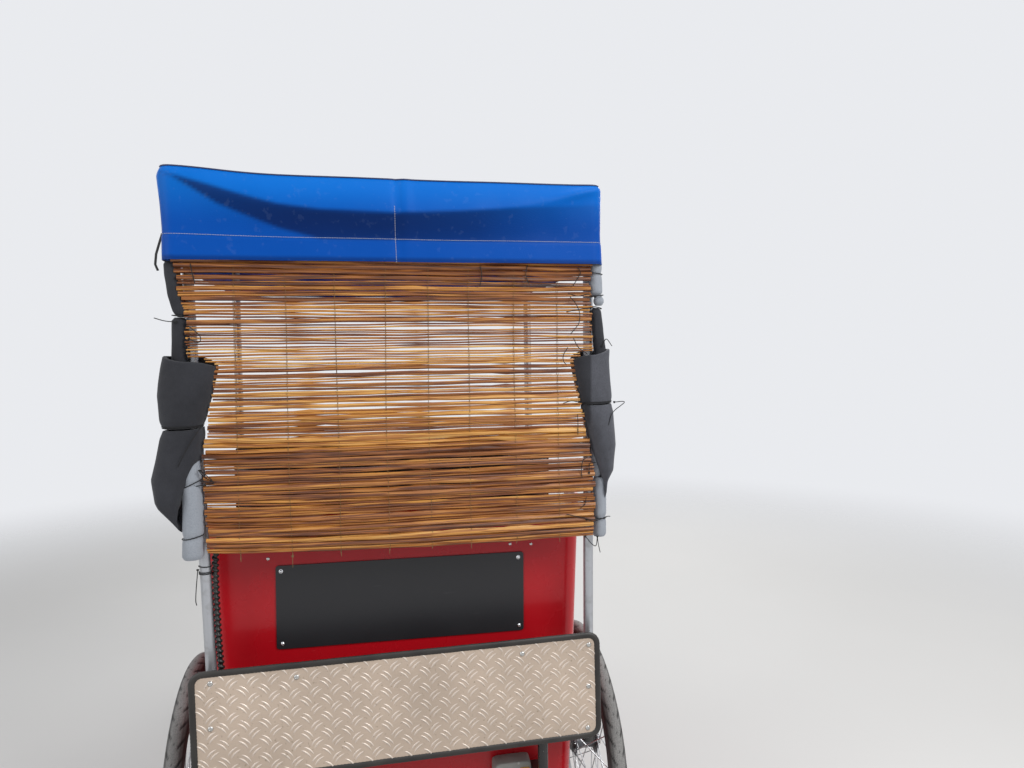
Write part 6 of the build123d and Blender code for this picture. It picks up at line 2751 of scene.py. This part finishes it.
@dataclass
class RidersSeat:
    """The saddle's cover with its rails and springs."""

    leather: float = 0.012
    wire: float = 0.0022
    bar: float = 0.0035
    # the springs: distance from the back, distance from the middle, radius and height
    spring: tuple[float, float, float, float] = (0.045, 0.06, 0.014, 0.04)
    # columns: distance from the back, half width, crown height, edge height
    sections: Sequence[tuple[float, float, float, float]] = (
        (0.0, 0.052, 0.060, 0.034),
        (0.012, 0.078, 0.066, 0.018),
        (0.04, 0.106, 0.072, 0.008),
        (0.08, 0.104, 0.070, 0.004),
        (0.12, 0.082, 0.066, 0.003),
        (0.16, 0.052, 0.062, 0.006),
        (0.20, 0.031, 0.058, 0.010),
        (0.235, 0.020, 0.053, 0.018),
        (0.258, 0.013, 0.046, 0.028),
        (0.265, 0.005, 0.038, 0.034),
    )
    # columns: distance from the back, distance from the middle, height over the base
    rail: Sequence[Point] = (
        (0.045, 0.06, 0.004),
        (0.075, 0.04, -0.002),
        (0.125, 0.022, -0.004),
        (0.175, 0.02, 0.002),
        (0.225, 0.012, 0.022),
    )

    def build(self) -> None:
        """Builds the cover, rails and springs."""
        low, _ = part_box("saddle")
        base = low[2]
        rows = []
        for along, half, crown, edge in self.sections:
            row = []
            for j in range(25):
                t = -1 + j / 12
                side = signed_power(t, 0.8)
                z = edge + (crown - edge) * (1 - abs(t) ** 2.6)
                row.append(Vector((low[0] + along, side * half, base + z)))
            rows.append(row)
        form = Former()
        form.grid(rows)
        skin = form.loose("saddle_cover")
        modify(skin, "SOLIDIFY", thickness=self.leather, offset=-1)
        modify(skin, "SUBSURF", levels=2, render_levels=2)
        settle(skin)
        dress(skin, VINYL, stands_for=("saddle",), smooth=180)
        rails = Former()
        along, out, radius, height = self.spring
        for side in (1, -1):
            coil = []
            for k, (cos, sin) in enumerate(circle(16) * 6 + [(1.0, 0.0)]):
                x, y = low[0] + along + radius * cos, side * out + radius * sin
                coil.append(Vector((x, y, base + 0.004 + height * k / 96)))
            rails.tube(coil, self.wire, 6)
            path = [Vector((low[0] + x, side * y, base + z)) for x, y, z in self.rail]
            rails.tube(path, self.bar, 8)
        dress(rails.loose("saddle_rails"), CHROME)


def clothe_nodes(nodes: dict[str, bpy.types.Object]) -> None:
    """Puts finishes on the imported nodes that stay.

    Args:
        nodes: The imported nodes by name.
    """
    finishes = {
        BLACK: ("main_frame", "rear_chassis", "fork", "bumper_frame", "front_mudguard"),
        CAST: ("bearing_blocks", "differential"),
        ALLOY: ("chainring", "crankset", "brake_levers"),
        SKIN: ("body_tub",),
        PLY: ("bench_box",),
        ZINC: ("rear_posts", "front_posts", "canopy_frame"),
        PLATE: ("tread_plate",),
        SIGN: ("sign_board",),
        CHROME: ("seat_post", "stem", "handlebar"),
        STEEL: ("front_axle", "half_shaft_left", "half_shaft_right"),
        LAMP_SHELL: ("headlamp",),
        RUBBER: ("pedal_left", "pedal_right"),
    }
    for finish, names in finishes.items():
        for name in names:
            cover(nodes[name], finish)


def main() -> None:
    """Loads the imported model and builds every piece."""
    logging.basicConfig(level=logging.INFO, format="%(message)s")
    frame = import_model()
    nodes = frame["nodes"]
    Viewpoint().build()
    Studio().build()
    WrappedCable().build()
    repeater = Repeater()
    stitcher = Stitcher()
    Canopy(stitcher).build()
    ReedBlind(repeater).build()
    left_guard().build()
    right_guard().build()
    TreadPanel(repeater).build()
    SignPanel(repeater).build()
    TailLamps(repeater).build()
    Tyres(repeater).build(nodes)
    DriveChain(repeater).build()
    FrontEnd(repeater).build()
    PedalFaces(repeater).build()
    Hardware(repeater).build()
    Bench().build()
    RidersSeat().build()
    clothe_nodes(nodes)


if __name__ == "__main__":
    main()
